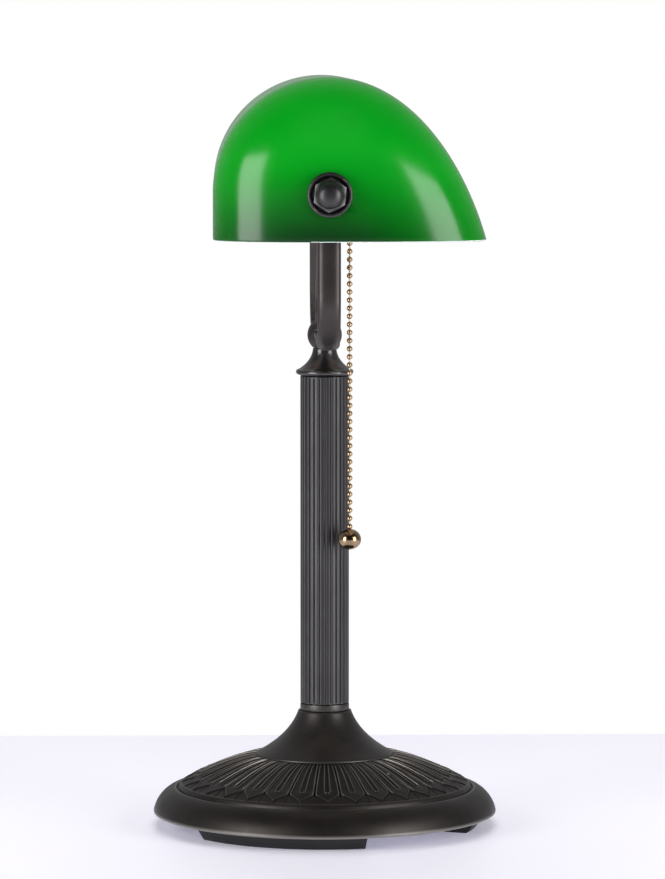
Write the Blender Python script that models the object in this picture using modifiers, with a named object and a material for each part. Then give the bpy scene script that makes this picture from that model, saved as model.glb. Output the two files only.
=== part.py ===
# Banker desk lamp: a weighted round base, a fluted column, a yoke with two arms, a pull-chain
# socket with its bulb, and a green glass shade that tilts between the yoke's arms.
# Metres, +Z up. The origin is the centre of the base on the surface that it stands on.
# The shade lies along X, and its flared open side faces -Y, the lamp's front.

import math

import bmesh
import bpy
from mathutils import Matrix, Vector

# ---------------------------------------------------------------- driving dimensions
WALL_GAP = 0.0003            # kept between solids that rest on or in each other

BASE_RADIUS = 0.0900         # widest point of the base casting
BASE_BOTTOM = 0.0070         # casting's lower edge; the foot pads fill the space below it
BASE_TOP = 0.0371            # flat crown of the casting, hidden by the bell
BASE_WALL = 0.0030
RELIEF_INNER = 0.0370        # the convex relief runs down from here ...
RELIEF_OUTER = 0.0752        # ... to here
RELIEF_DROP = 0.0144

COLUMN_RADIUS = 0.0127
COLUMN_BORE = 0.0105
COLUMN_BOTTOM = 0.0649
COLUMN_TOP = 0.2364
FLUTES = 26
FLUTE_DEPTH = 0.0006

ROD_RADIUS = 0.0050          # M10 hollow lamp rod
ROD_BORE = 0.0033
ROD_BOTTOM = 0.0205
ROD_TOP = 0.2585
ROD_HOLE = ROD_RADIUS + 0.0004

HUB_RADIUS = 0.0090
HUB_Z = 0.2579

PIVOT_Z = 0.3346             # the shade's tilt axis, which runs along X
ARM_X = 0.1130               # centre line of each upright arm
ARM_BEND = 0.0260
ARM_HALF_WIDTH = 0.0058
ARM_FLAT = 0.0019            # from the arm's centre line to its flat inner side
ARM_CROWN = 0.0027           # from the arm's centre line to its crowned outer side
ARM_EYE_RADIUS = 0.0075

SHADE_RADIUS = 0.0580        # back and top of the shade, round the tilt axis
SHADE_SKIRT = 0.0236         # the rim lies this far below the tilt axis
SHADE_FRONT = 0.0793         # the front rim stands this far in front of the axis
SHADE_HALF_LENGTH = 0.1250
SHADE_DOME = 0.0350          # length of each domed end
SHADE_FULLNESS = 2.3         # exponent of the domes' superellipse
GLASS = 0.0030
GLASS_HOLE = 0.0055
GLASS_END = SHADE_HALF_LENGTH - 0.0002

BOLT_RADIUS = 0.0030
BOLT_HOLE = 0.0033

SOCKET_Z = PIVOT_Z           # the socket lies along X, on the shade's axis
SHELL_RADIUS = 0.0173
CHAIN_X = -0.0200
CHAIN_Y = -0.0125
CHAIN_RADIUS = 0.0015
CHAIN_JOINT_Z = 0.3120       # where the hanging chain swings, at the spout's mouth
BALL_Z = 0.1527
BALL_RADIUS = 0.0060
BALL_HALF_HEIGHT = 0.0054
DRUM_PITCH_RADIUS = 0.0060   # the chain leaves the drum at this radius
DRUM_Y = CHAIN_Y + DRUM_PITCH_RADIUS
DRUM_Z = 0.3300

PAD_ANGLES = (40.5, 160.5, 280.5)     # middles of the three foot pads, degrees about +Z
PAD_SPAN = 67.0
SCREW_ANGLES = (85.0, 205.0, 325.0)
SCREW_CIRCLE = 0.0800
GLAND_ANGLE = 104.0
GLAND_CIRCLE = 0.0720
LEAD_ANGLE = 100.5
LEAD_RADIUS = 0.0022
LEAD_Z = 0.0125

SIDES = (("left", -1), ("right", 1))  # the lamp's two ends along X


# ---------------------------------------------------------------- scene and materials
def start():
    """Empty the scene and make the two collections: the lamp's parts, and their cutters."""
    for old in list(bpy.data.objects):
        bpy.data.objects.remove(old, do_unlink=True)
    groups = []
    for name in ("banker_desk_lamp", "cutters"):
        group = bpy.data.collections.new(name)
        bpy.context.scene.collection.children.link(group)
        groups.append(group)
    return groups


PARTS, CUTTERS = start()


def finish(name, colour, roughness, metallic, transmission=0.0):
    material = bpy.data.materials.new(name)
    material.use_nodes = True
    shader = material.node_tree.nodes["Principled BSDF"]
    shader.inputs["Base Color"].default_value = (*colour, 1.0)
    shader.inputs["Roughness"].default_value = roughness
    shader.inputs["Metallic"].default_value = metallic
    shader.inputs["Transmission Weight"].default_value = transmission
    return material


BRONZE = finish("oiled_bronze", (0.045, 0.040, 0.038), 0.38, 0.9)
GREEN_GLASS = finish("green_glass", (0.004, 0.36, 0.02), 0.05, 0.0)
ANTIQUE_BRASS = finish("antique_brass", (0.42, 0.30, 0.17), 0.25, 1.0)
BRASS = finish("brass", (0.75, 0.58, 0.27), 0.30, 1.0)
STEEL = finish("zinc_steel", (0.55, 0.56, 0.58), 0.35, 1.0)
IRON = finish("cast_iron", (0.10, 0.10, 0.10), 0.70, 0.6)
RUBBER = finish("black_rubber", (0.015, 0.015, 0.015), 0.75, 0.0)
NYLON = finish("white_nylon", (0.80, 0.79, 0.74), 0.50, 0.0)
PHENOLIC = finish("phenolic", (0.06, 0.03, 0.02), 0.35, 0.0)
FIBRE = finish("fibre_liner", (0.62, 0.50, 0.33), 0.80, 0.0)
ALUMINIUM = finish("bulb_aluminium", (0.75, 0.75, 0.76), 0.30, 1.0)
BULB_GLASS = finish("bulb_glass", (0.90, 0.90, 0.87), 0.20, 0.0, 0.3)
LEAD_SKIN = finish("lead_sheath", (0.02, 0.02, 0.02), 0.60, 0.0)


# ---------------------------------------------------------------- modelling helpers
def place(name, mesh, material, group=PARTS):
    item = bpy.data.objects.new(name, mesh)
    group.objects.link(item)
    mesh.materials.append(material)
    return item


def smooth(item, angle=35.0):
    item.data.shade_smooth()
    item.data.set_sharp_from_angle(angle=math.radians(angle))
    return item


def arc(centre, radius, first, last, count):
    """Points on a circle in the plane of a profile, angles in degrees from +r."""
    steps = [first + (last - first) * i / count for i in range(count + 1)]
    return [(centre[0] + radius * math.cos(math.radians(a)),
             centre[1] + radius * math.sin(math.radians(a))) for a in steps]


def bezier(p0, p1, p2, count):
    """Points along a quadratic curve, both ends included."""
    points = []
    for i in range(count + 1):
        t = i / count
        points.append(tuple((1 - t) ** 2 * a + 2 * t * (1 - t) * b + t * t * c
                            for a, b, c in zip(p0, p1, p2)))
    return points


def turned(name, profile, steps, material, closed=True, group=PARTS):
    """A turned solid: (radius, height) points down the outer side, swept about local Z."""
    count = len(profile)
    edges = [(i, i + 1) for i in range(count - 1)]
    if closed:
        edges.append((count - 1, 0))
    mesh = bpy.data.meshes.new(name)
    mesh.from_pydata([(r, 0.0, z) for r, z in profile], edges, [])
    item = place(name, mesh, material, group)
    screw = item.modifiers.new("turn", "SCREW")
    screw.steps = steps
    screw.render_steps = steps
    screw.use_merge_vertices = True
    screw.merge_threshold = 0.00001
    screw.use_smooth_shade = True
    return item


def lay_along_x(item, side=1, y=0.0, z=PIVOT_Z):
    """Turn a piece that was made about Z so that its +Z points along side * X."""
    item.rotation_euler = (0.0, side * math.pi / 2, 0.0)
    item.location = (0.0, y, z)
    return item


def cylinder(name, radius, low, high, material, vertices=24, group=PARTS):
    """A plain cylinder about local Z, from low to high."""
    mesh = bpy.data.meshes.new(name)
    bm = bmesh.new()
    bmesh.ops.create_cone(bm, cap_ends=True, segments=vertices, radius1=radius, radius2=radius,
                          depth=high - low, matrix=Matrix.Translation((0, 0, (low + high) / 2)))
    bm.to_mesh(mesh)
    bm.free()
    return place(name, mesh, material, group)


def block(name, low, high, material, group=PARTS):
    """A box between two corners."""
    mesh = bpy.data.meshes.new(name)
    bm = bmesh.new()
    size = [b - a for a, b in zip(low, high)]
    centre = [(a + b) / 2 for a, b in zip(low, high)]
    bmesh.ops.create_cube(bm, size=1.0,
                          matrix=Matrix.Translation(centre) @ Matrix.Diagonal((*size, 1.0)))
    bm.to_mesh(mesh)
    bm.free()
    return place(name, mesh, material, group)


def combine(item, tool, operation="DIFFERENCE"):
    """Cut item with tool, or join tool to it. The tool stays in the scene as a hidden guide."""
    tool.hide_render = True
    tool.display_type = "WIRE"
    boolean = item.modifiers.new(tool.name, "BOOLEAN")
    boolean.operation = operation
    boolean.solver = "EXACT"
    boolean.object = tool
    return item


def round_edges(item, width, segments=1):
    bevel = item.modifiers.new("round", "BEVEL")
    bevel.width = width
    bevel.segments = segments
    bevel.limit_method = "ANGLE"
    return item


def ring_of_pegs(name, angles, circle, radius, low, high):
    """Upright cylinders on a circle, as one tool."""
    mesh = bpy.data.meshes.new(name)
    bm = bmesh.new()
    for angle in angles:
        turn = math.radians(angle)
        middle = Vector((circle * math.cos(turn), circle * math.sin(turn), (low + high) / 2))
        bmesh.ops.create_cone(bm, cap_ends=True, segments=12, radius1=radius, radius2=radius,
                              depth=high - low, matrix=Matrix.Translation(middle))
    bm.to_mesh(mesh)
    bm.free()
    return place(name, mesh, STEEL, CUTTERS)


def curve_object(name, points, radius, resolution=2, caps=True):
    """A tube along a line of points."""
    curve = bpy.data.curves.new(name, "CURVE")
    curve.dimensions = "3D"
    curve.bevel_depth = radius
    curve.bevel_resolution = resolution
    curve.use_fill_caps = caps
    spline = curve.splines.new("POLY")
    spline.points.add(len(points) - 1)
    for point, place_at in zip(spline.points, points):
        point.co = (*place_at, 1.0)
    item = bpy.data.objects.new(name, curve)
    PARTS.objects.link(item)
    return item


def flat_curve(name, outlines, group):
    """Closed outlines of (x, y) points as one 2D curve."""
    curve = bpy.data.curves.new(name, "CURVE")
    curve.dimensions = "2D"
    for outline in outlines:
        spline = curve.splines.new("POLY")
        spline.points.add(len(outline) - 1)
        for point, (x, y) in zip(spline.points, outline):
            point.co = (x, y, 0.0, 1.0)
        spline.use_cyclic_u = True
    item = bpy.data.objects.new(name, curve)
    group.objects.link(item)
    return item


def solid_from(item, material):
    """Replace a curve object by its mesh, with the end caps welded on."""
    name = item.name
    bpy.context.view_layer.update()
    graph = bpy.context.evaluated_depsgraph_get()
    mesh = bpy.data.meshes.new_from_object(item.evaluated_get(graph))
    bm = bmesh.new()
    bm.from_mesh(mesh)
    bmesh.ops.remove_doubles(bm, verts=bm.verts, dist=0.000001)
    bmesh.ops.recalc_face_normals(bm, faces=bm.faces)
    bm.to_mesh(mesh)
    bm.free()
    matrix = item.matrix_world.copy()
    bpy.data.objects.remove(item, do_unlink=True)
    mesh.materials.clear()
    solid = place(name, mesh, material)
    solid.matrix_world = matrix
    mesh.name = name
    return solid


def on_circle(circle, angle, z):
    turn = math.radians(angle)
    return Vector((circle * math.cos(turn), circle * math.sin(turn), z))


# ---------------------------------------------------------------- base
def relief_height(r):
    """Height of the casting's convex top at radius r."""
    span = RELIEF_OUTER - RELIEF_INNER
    return BASE_TOP - RELIEF_DROP * ((r - RELIEF_INNER) / span) ** 1.4


def base_casting():
    """Hollow casting: crown, sloping relief, groove and rolled rim, with three screw bosses."""
    top = [(ROD_HOLE, BASE_TOP), (RELIEF_INNER, BASE_TOP)]
    slope = [(r, relief_height(r)) for r in (0.0450, 0.0540, 0.0650, RELIEF_OUTER)]
    groove = [(0.0767, 0.0199), (0.0776, 0.0197), (0.0782, 0.0205)]
    rim = [(0.0820, 0.0193), (0.0856, 0.0165), (0.0880, 0.0131), (BASE_RADIUS, 0.0084),
           (0.0886, BASE_BOTTOM)]
    inside = [(0.0864, BASE_BOTTOM), (0.0860, 0.0104), (0.0824, 0.0149), (0.0765, 0.0165),
              (0.0725, 0.0200), (0.0600, 0.0268), (0.0480, 0.0313), (0.0330, 0.0339),
              (ROD_HOLE, BASE_TOP - BASE_WALL - 0.0002)]
    casting = turned("base_casting", top + slope + groove + rim + inside, 44, BRONZE)
    combine(casting, ring_of_pegs("boss_tool", SCREW_ANGLES, SCREW_CIRCLE, 0.0032, 0.0092, 0.0170),
            "UNION")
    combine(casting, ring_of_pegs("boss_hole", SCREW_ANGLES, SCREW_CIRCLE, 0.0016, 0.0080, 0.0150))
    return casting


def base_weight():
    """Cast iron ballast under the crown, clamped by the rod's nut in its counterbore."""
    profile = [(0.0056, 0.0334), (0.0325, 0.0334), (0.0478, 0.0307), (0.0590, 0.0264),
               (0.0705, 0.0203), (0.0705, 0.0165), (0.0160, 0.0165), (0.0160, 0.0280),
               (0.0056, 0.0280)]
    return turned("base_weight", profile, 28, IRON)


def bottom_plate():
    """Sheet steel cover that closes the casting, with the gland's hole and three screw holes."""
    plate = cylinder("bottom_plate", 0.0860, 0.0076, 0.0088, STEEL, 44)
    combine(plate, ring_of_pegs("plate_holes", SCREW_ANGLES, SCREW_CIRCLE, 0.0017, 0.0060, 0.0100))
    combine(plate, ring_of_pegs("gland_hole", (GLAND_ANGLE,), GLAND_CIRCLE, 0.0050, 0.0060, 0.0100))
    return plate


def plate_screws():
    """Three pan-head screws that hold the plate to the casting's bosses."""
    profile = [(0.0, 0.0145), (0.0013, 0.0145), (0.0013, 0.0073), (0.0030, 0.0073),
               (0.0024, 0.0060), (0.0, 0.0058)]
    for number, angle in enumerate(SCREW_ANGLES, 1):
        screw = turned(f"plate_screw_{number}", profile, 12, STEEL, closed=False)
        screw.location = on_circle(SCREW_CIRCLE, angle, 0.0)


def foot_pads():
    """Three rubber arcs under the plate, set in from the rim, with gaps that let the cord out."""
    section = [(0.0660, 0.0), (0.0790, 0.0), (0.0800, 0.0008), (0.0845, 0.0073),
               (0.0640, 0.0073), (0.0652, 0.0008)]
    pads = []
    for number, middle in enumerate(PAD_ANGLES, 1):
        bm = bmesh.new()
        face = bm.faces.new([bm.verts.new((r, 0.0, z)) for r, z in section])
        bmesh.ops.rotate(bm, verts=bm.verts, cent=(0, 0, 0),
                         matrix=Matrix.Rotation(math.radians(middle - PAD_SPAN / 2), 3, "Z"))
        bmesh.ops.spin(bm, geom=[face], cent=(0, 0, 0), axis=(0, 0, 1),
                       angle=math.radians(PAD_SPAN), steps=10)
        bmesh.ops.recalc_face_normals(bm, faces=bm.faces)
        name = f"foot_pad_{number}"
        mesh = bpy.data.meshes.new(name)
        bm.to_mesh(mesh)
        bm.free()
        pads.append(place(name, mesh, RUBBER))
    return pads


def cord_gland():
    """Snap-in bush in the plate that the mains cord would pass through."""
    profile = [(0.0033, 0.0110), (0.0050, 0.0110), (0.0056, 0.0096), (0.0056, 0.0092),
               (0.0047, 0.0091), (0.0047, 0.0073), (0.0070, 0.0073), (0.0070, 0.0064),
               (0.0060, 0.0058), (0.0042, 0.0058), (0.0033, 0.0066)]
    gland = turned("cord_gland", profile, 16, RUBBER)
    gland.location = on_circle(GLAND_CIRCLE, GLAND_ANGLE, 0.0)
    return gland


def terminal_block():
    """Junction in the base between the mains cord and the lamp's own lead."""
    item = block("terminal_block", (0.0435, -0.0060, 0.0093), (0.0595, 0.0060, 0.0157), NYLON)
    item.rotation_euler = (0.0, 0.0, math.radians(LEAD_ANGLE))
    return round_edges(item, 0.0008)


def rod_fasteners():
    """Washer and nut that pull the rod, casting and weight together."""
    washer = [(ROD_HOLE, 0.0277), (0.0125, 0.0277), (0.0125, 0.0264), (ROD_HOLE, 0.0264)]
    turned("rod_washer", washer, 24, STEEL)
    nut = cylinder("rod_nut", 0.0081, 0.0212, 0.0261, STEEL, 6)
    combine(nut, cylinder("rod_nut_bore", ROD_RADIUS + WALL_GAP, 0.0200, 0.0270, STEEL, 20, CUTTERS))


# ---------------------------------------------------------------- column
def threaded_rod():
    """Hollow rod through the whole column; the lead runs up inside it."""
    profile = [(ROD_BORE, ROD_TOP), (ROD_RADIUS, ROD_TOP), (ROD_RADIUS, ROD_BOTTOM),
               (ROD_BORE, ROD_BOTTOM)]
    return turned("threaded_rod", profile, 20, STEEL)


def column_bell():
    """Spun trumpet-shaped foot of the column, standing on the casting's crown."""
    outside = bezier((0.0138, 0.0609), (0.0181, 0.0480), (0.0356, 0.0381), 6)
    inside = bezier((0.0344, 0.0374), (0.0168, 0.0468), (0.0124, 0.0590), 4)
    profile = [(ROD_HOLE, 0.0608), (0.0132, 0.0608)] + outside + [(0.0356, 0.0374)] + inside
    return turned("column_bell", profile + [(ROD_HOLE, 0.0590)], 32, BRONZE)


def column_ring():
    """Plain ring between bell and column, with a spigot that centres the column tube."""
    profile = [(ROD_HOLE, 0.0680), (0.0100, 0.0680), (0.0100, 0.0646), (0.0124, 0.0646),
               (0.0128, 0.0642), (0.0128, 0.0612), (ROD_HOLE, 0.0612)]
    return turned("column_ring", profile, 28, BRONZE)


def column_tube():
    """Fluted tube, extruded from its outline."""
    reed = 2 * math.pi / FLUTES
    outline = []
    for flute in range(FLUTES):
        for share, depth in ((0.0, FLUTE_DEPTH), (0.22, 0.0), (0.78, 0.0)):
            turn = reed * (flute + share)
            radius = COLUMN_RADIUS - depth
            outline.append((radius * math.cos(turn), radius * math.sin(turn)))
    bore = arc((0.0, 0.0), COLUMN_BORE, 0.0, 342.0, 19)
    tube = flat_curve("column_tube", (outline, bore), PARTS)
    tube.data.fill_mode = "BOTH"
    tube.data.extrude = (COLUMN_TOP - COLUMN_BOTTOM) / 2
    tube.location.z = (COLUMN_TOP + COLUMN_BOTTOM) / 2
    return solid_from(tube, BRONZE)


def column_cap():
    """Flared cap with a bead round its edge and a spigot inside the column tube."""
    flare = bezier((0.00615, 0.2509), (0.0066, 0.2445), (0.0134, 0.2401), 5)
    bead = arc((0.0136, 0.2386), 0.0014, 75.0, -75.0, 4)
    profile = [(ROD_HOLE, 0.2509)] + flare + bead
    profile += [(0.0126, COLUMN_TOP + WALL_GAP), (0.0100, COLUMN_TOP + WALL_GAP),
                (0.0100, 0.2330), (ROD_HOLE, 0.2330)]
    return turned("column_cap", profile, 28, BRONZE)


# ---------------------------------------------------------------- yoke
def yoke_hub():
    """Ball on top of the column, with a pocket on each side for the yoke's arms."""
    low = math.degrees(math.asin((0.2512 - HUB_Z) / HUB_RADIUS))
    high = math.degrees(math.asin((0.2640 - HUB_Z) / HUB_RADIUS))
    ball = arc((0.0, HUB_Z), HUB_RADIUS, high, low, 8)
    profile = [(0.0053, 0.2640)] + ball + [(0.0053, 0.2512)]
    hub = turned("yoke_hub", profile, 24, BRONZE)
    for side_name, side in SIDES:
        ends = sorted((side * 0.0064, side * 0.0120))
        pocket = block(f"hub_pocket_{side_name}", (ends[0], -0.0062, HUB_Z - 0.0031),
                       (ends[1], 0.0062, HUB_Z + 0.0024), STEEL, CUTTERS)
        combine(hub, pocket)
    return hub


def arm_section():
    """Cross-section of the half-round arm, as a curve object that the arm's path carries."""
    outline = [(-ARM_HALF_WIDTH, -ARM_FLAT), (ARM_HALF_WIDTH, -ARM_FLAT)]
    height = ARM_CROWN + ARM_FLAT - 0.0010
    for i in range(7):
        turn = math.pi * i / 6
        outline.append((ARM_HALF_WIDTH * math.cos(turn),
                        ARM_CROWN - height + height * math.sin(turn)))
    item = flat_curve("arm_section", (outline,), CUTTERS)
    item.hide_render = True
    item.display_type = "WIRE"
    return item


def yoke_arms():
    """Two half-round bars: out from the hub, round a bend, and up to the pivot eye."""
    section = arm_section()
    for side_name, side in SIDES:
        corner = (ARM_X - ARM_BEND, HUB_Z + ARM_BEND)
        path = [(0.0067, HUB_Z)] + arc(corner, ARM_BEND, -90.0, 0.0, 8) + [(ARM_X, PIVOT_Z)]
        curve = curve_object(f"yoke_arm_{side_name}", [(side * x, 0.0, z) for x, z in path], 0.0)
        curve.data.bevel_mode = "OBJECT"
        curve.data.bevel_object = section
        curve.data.twist_mode = "MINIMUM"
        for point in curve.data.splines[0].points:
            point.tilt = math.pi
        arm = solid_from(curve, BRONZE)
        eye = cylinder(f"arm_eye_{side_name}", ARM_EYE_RADIUS, ARM_X - ARM_FLAT, ARM_X + ARM_CROWN,
                       BRONZE, 20, CUTTERS)
        combine(arm, lay_along_x(eye, side), "UNION")
        hole = cylinder(f"arm_hole_{side_name}", BOLT_HOLE, ARM_X - 0.01, ARM_X + 0.01,
                        BRONZE, 20, CUTTERS)
        combine(arm, lay_along_x(hole, side))


def pivot_hardware():
    """At each end: bolt through the arm's eye, spacer, glass bush, cup washer and cap nut."""
    for side_name, side in SIDES:
        bolt = [(0.0, 0.1345), (0.0026, 0.1345), (BOLT_RADIUS, 0.1340), (BOLT_RADIUS, 0.1108),
                (0.0052, 0.1108), (0.0052, 0.1084), (0.0040, 0.1074), (0.0, 0.1074)]
        lay_along_x(turned(f"pivot_bolt_{side_name}", bolt, 16, STEEL, closed=False), side)

        spacer = [(BOLT_HOLE, 0.1200), (0.0075, 0.1200), (0.0075, 0.1160), (BOLT_HOLE, 0.1160)]
        lay_along_x(turned(f"pivot_spacer_{side_name}", spacer, 16, NYLON), side)

        bush = [(BOLT_HOLE, 0.1246), (0.0051, 0.1246), (0.0051, 0.1215), (0.0085, 0.1215),
                (0.0085, 0.1203), (BOLT_HOLE, 0.1203)]
        lay_along_x(turned(f"glass_bush_{side_name}", bush, 16, NYLON), side)

        cup = [(0.0100, 0.1289), (0.01125, 0.1289), (0.0104, 0.1261), (0.0092, 0.1251),
               (BOLT_HOLE, 0.1251), (BOLT_HOLE, 0.1261), (0.0088, 0.1261)]
        lay_along_x(turned(f"cup_washer_{side_name}", cup, 24, BRONZE), side)

        cap_nut(side_name, side)


def cap_nut(side_name, side):
    """Domed hexagon nut, closed outside and tapped blind from the inside."""
    half_flats = 0.00765
    nut = cylinder(f"cap_nut_{side_name}", half_flats / math.cos(math.pi / 6), 0.1264, 0.1312,
                   BRONZE, 6)
    dome = [(0.0, 0.1378)] + bezier((0.0030, 0.1374), (0.0066, 0.1362), (0.0068, 0.1318), 4)
    dome += [(0.0068, 0.1300), (0.0, 0.1300)]
    dome_tool = turned(f"nut_dome_{side_name}", dome, 20, BRONZE, False, CUTTERS)
    bore_tool = cylinder(f"nut_bore_{side_name}", BOLT_HOLE, 0.1250, 0.1350, STEEL, 16, CUTTERS)
    for piece in (nut, dome_tool, bore_tool):
        lay_along_x(piece, side)
    turn = Matrix.Rotation(math.radians(35.0), 4, "X")
    nut.rotation_euler = (turn @ nut.rotation_euler.to_matrix().to_4x4()).to_euler()
    combine(nut, dome_tool, "UNION")
    combine(nut, bore_tool)


# ---------------------------------------------------------------- shade
def shade_profile():
    """Half-round section that flares at the front: (y, z) from the back rim to the front rim."""
    back = [(SHADE_RADIUS, -SHADE_SKIRT), (SHADE_RADIUS, -SHADE_SKIRT / 2)]
    crown = arc((0.0, 0.0), SHADE_RADIUS, 0.0, 112.0, 12)
    start_at = Vector(crown[-1])
    start_way = Vector((-start_at.y, start_at.x)).normalized()
    end_at = Vector((-SHADE_FRONT, -SHADE_SKIRT))
    end_way = Vector((-0.27, -0.963))
    p1 = start_at + start_way * 0.0330
    p2 = end_at - end_way * 0.0300
    front = []
    for i in range(1, 9):
        t = i / 8
        point = ((1 - t) ** 3 * start_at + 3 * t * (1 - t) ** 2 * p1
                 + 3 * t * t * (1 - t) * p2 + t ** 3 * end_at)
        front.append(tuple(point))
    return back + crown + front


def shade_section(profile, scale):
    """The section shrunk towards the tilt axis; the skirt below the axis keeps its height."""
    above = [p for p in profile if p[1] >= 0.0]
    section = []
    for y, z in profile:
        if z >= 0.0:
            section.append((scale * y, scale * z))
        else:
            shoulder = above[0][0] if y > 0 else above[-1][0]
            section.append((scale * shoulder + (y - shoulder), z))
    return section


def shade_glass():
    """Cased glass trough with domed ends: a loft of shrinking sections, given its thickness."""
    profile = shade_profile()
    power = 2 / SHADE_FULLNESS
    stations = []
    for degrees in (0, 14, 28, 42, 54, 65, 75, 83):
        turn = math.radians(degrees)
        x = SHADE_HALF_LENGTH - SHADE_DOME + SHADE_DOME * math.sin(turn) ** power
        stations.append((min(x, GLASS_END), math.cos(turn) ** power))
    rows = [(-x, s) for x, s in reversed(stations)] + stations
    bm = bmesh.new()
    loops = []
    for x, scale in rows:
        points = shade_section(profile, scale)
        loops.append([bm.verts.new((x, y, PIVOT_Z + z)) for y, z in points])
    for first, second in zip(loops, loops[1:]):
        for i in range(len(profile) - 1):
            bm.faces.new((first[i], first[i + 1], second[i + 1], second[i]))
    bm.faces.new(loops[0])
    bm.faces.new(list(reversed(loops[-1])))
    bmesh.ops.recalc_face_normals(bm, faces=bm.faces)
    if sum(f.normal.z * f.calc_area() for f in bm.faces) < 0:
        bmesh.ops.reverse_faces(bm, faces=bm.faces)
    mesh = bpy.data.meshes.new("shade_glass")
    bm.to_mesh(mesh)
    bm.free()
    shade = place("shade_glass", mesh, GREEN_GLASS)
    wall = shade.modifiers.new("wall", "SOLIDIFY")
    wall.thickness = GLASS
    wall.offset = -1.0
    wall.use_even_offset = True
    for side_name, side in SIDES:
        hole = cylinder(f"shade_hole_{side_name}", GLASS_HOLE, 0.1180, 0.1280, BRONZE, 24, CUTTERS)
        combine(shade, lay_along_x(hole, side))
    return smooth(shade)


# ---------------------------------------------------------------- socket and bulb
def socket_arm_path():
    """Centre line of the bent tube: up out of the hub, back under the socket, round into it."""
    lean = 60.0
    first_bend = 0.0120
    last_bend = 0.0140
    start_z = 0.2700
    rise = SOCKET_Z - start_z
    sweep = last_bend * (1 + math.sin(math.radians(lean)))
    slope = math.radians(90.0 + lean)
    run = (rise - first_bend * math.sin(math.radians(lean)) - sweep) / math.sin(slope)
    points = [(0.0, 0.2590), (0.0, 0.2645)]
    points += arc((-first_bend, start_z), first_bend, 0.0, lean, 4)
    x, z = points[-1]
    end = (x + run * math.cos(slope), z + run * math.sin(slope))
    points += [(x + (end[0] - x) * t, z + (end[1] - z) * t) for t in (0.25, 0.5, 0.75)]
    facing = slope - math.pi / 2
    centre = (end[0] + last_bend * math.cos(facing), end[1] + last_bend * math.sin(facing))
    points += arc(centre, last_bend, 180.0 + math.degrees(facing), 90.0, 7)
    points.append((-0.0388, SOCKET_Z))
    return points


def socket_arm():
    """Bent hollow tube that carries the socket and the lead."""
    path = [(x, 0.0, z) for x, z in socket_arm_path()]
    curve = curve_object("socket_arm", path, ROD_RADIUS, resolution=1, caps=False)
    tube = solid_from(curve, BRONZE)
    wall = tube.modifiers.new("wall", "SOLIDIFY")
    wall.thickness = ROD_RADIUS - 0.0035
    wall.offset = -1.0
    wall.use_even_offset = True
    return tube


def socket_shells():
    """Socket cap with its threaded boss, outer shell, fibre liner and brass screw shell."""
    cap = [(0.0178, -0.0244), (0.0178, -0.0290), (0.0155, -0.0340), (0.0090, -0.0385),
           (0.0085, -0.0440), (ROD_HOLE, -0.0440), (ROD_HOLE, -0.0384), (0.0085, -0.0376),
           (0.0148, -0.0333), (0.0170, -0.0286), (0.0170, -0.0244)]
    lay_along_x(turned("socket_cap", cap, 24, BRASS))

    shell = [(0.0166, 0.0260), (SHELL_RADIUS, 0.0260), (SHELL_RADIUS, -0.0240), (0.0166, -0.0240)]
    shell_item = lay_along_x(turned("socket_shell", shell, 28, BRASS))
    spout_hole = cylinder("shell_spout_hole", 0.0036, 0.3120, 0.3290, BRASS, 20, CUTTERS)
    spout_hole.location = (CHAIN_X, CHAIN_Y, 0.0)
    combine(shell_item, spout_hole)

    liner = [(0.0155, 0.0255), (0.0162, 0.0255), (0.0162, -0.0005), (0.0155, -0.0005)]
    lay_along_x(turned("socket_liner", liner, 24, FIBRE))

    screw_shell = [(0.0135, 0.0245), (0.0140, 0.0245), (0.0140, 0.0002), (0.0110, 0.0002),
                   (0.0110, 0.0007), (0.0135, 0.0007)]
    lay_along_x(turned("screw_shell", screw_shell, 24, BRASS))


def centre_contact():
    """Sprung brass leaf in the bottom of the socket that meets the bulb's tip."""
    outline = [(0.0002, -0.0060), (0.0002, 0.0060), (0.0007, 0.0060), (0.0007, -0.0040),
               (0.0024, 0.0005), (0.0024, 0.0045), (0.0028, 0.0045), (0.0028, -0.0002),
               (0.0009, -0.0060)]
    leaf = flat_curve("centre_contact", (outline,), PARTS)
    leaf.data.fill_mode = "BOTH"
    leaf.data.extrude = 0.0020
    leaf.location.z = SOCKET_Z
    return solid_from(leaf, BRASS)


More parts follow.
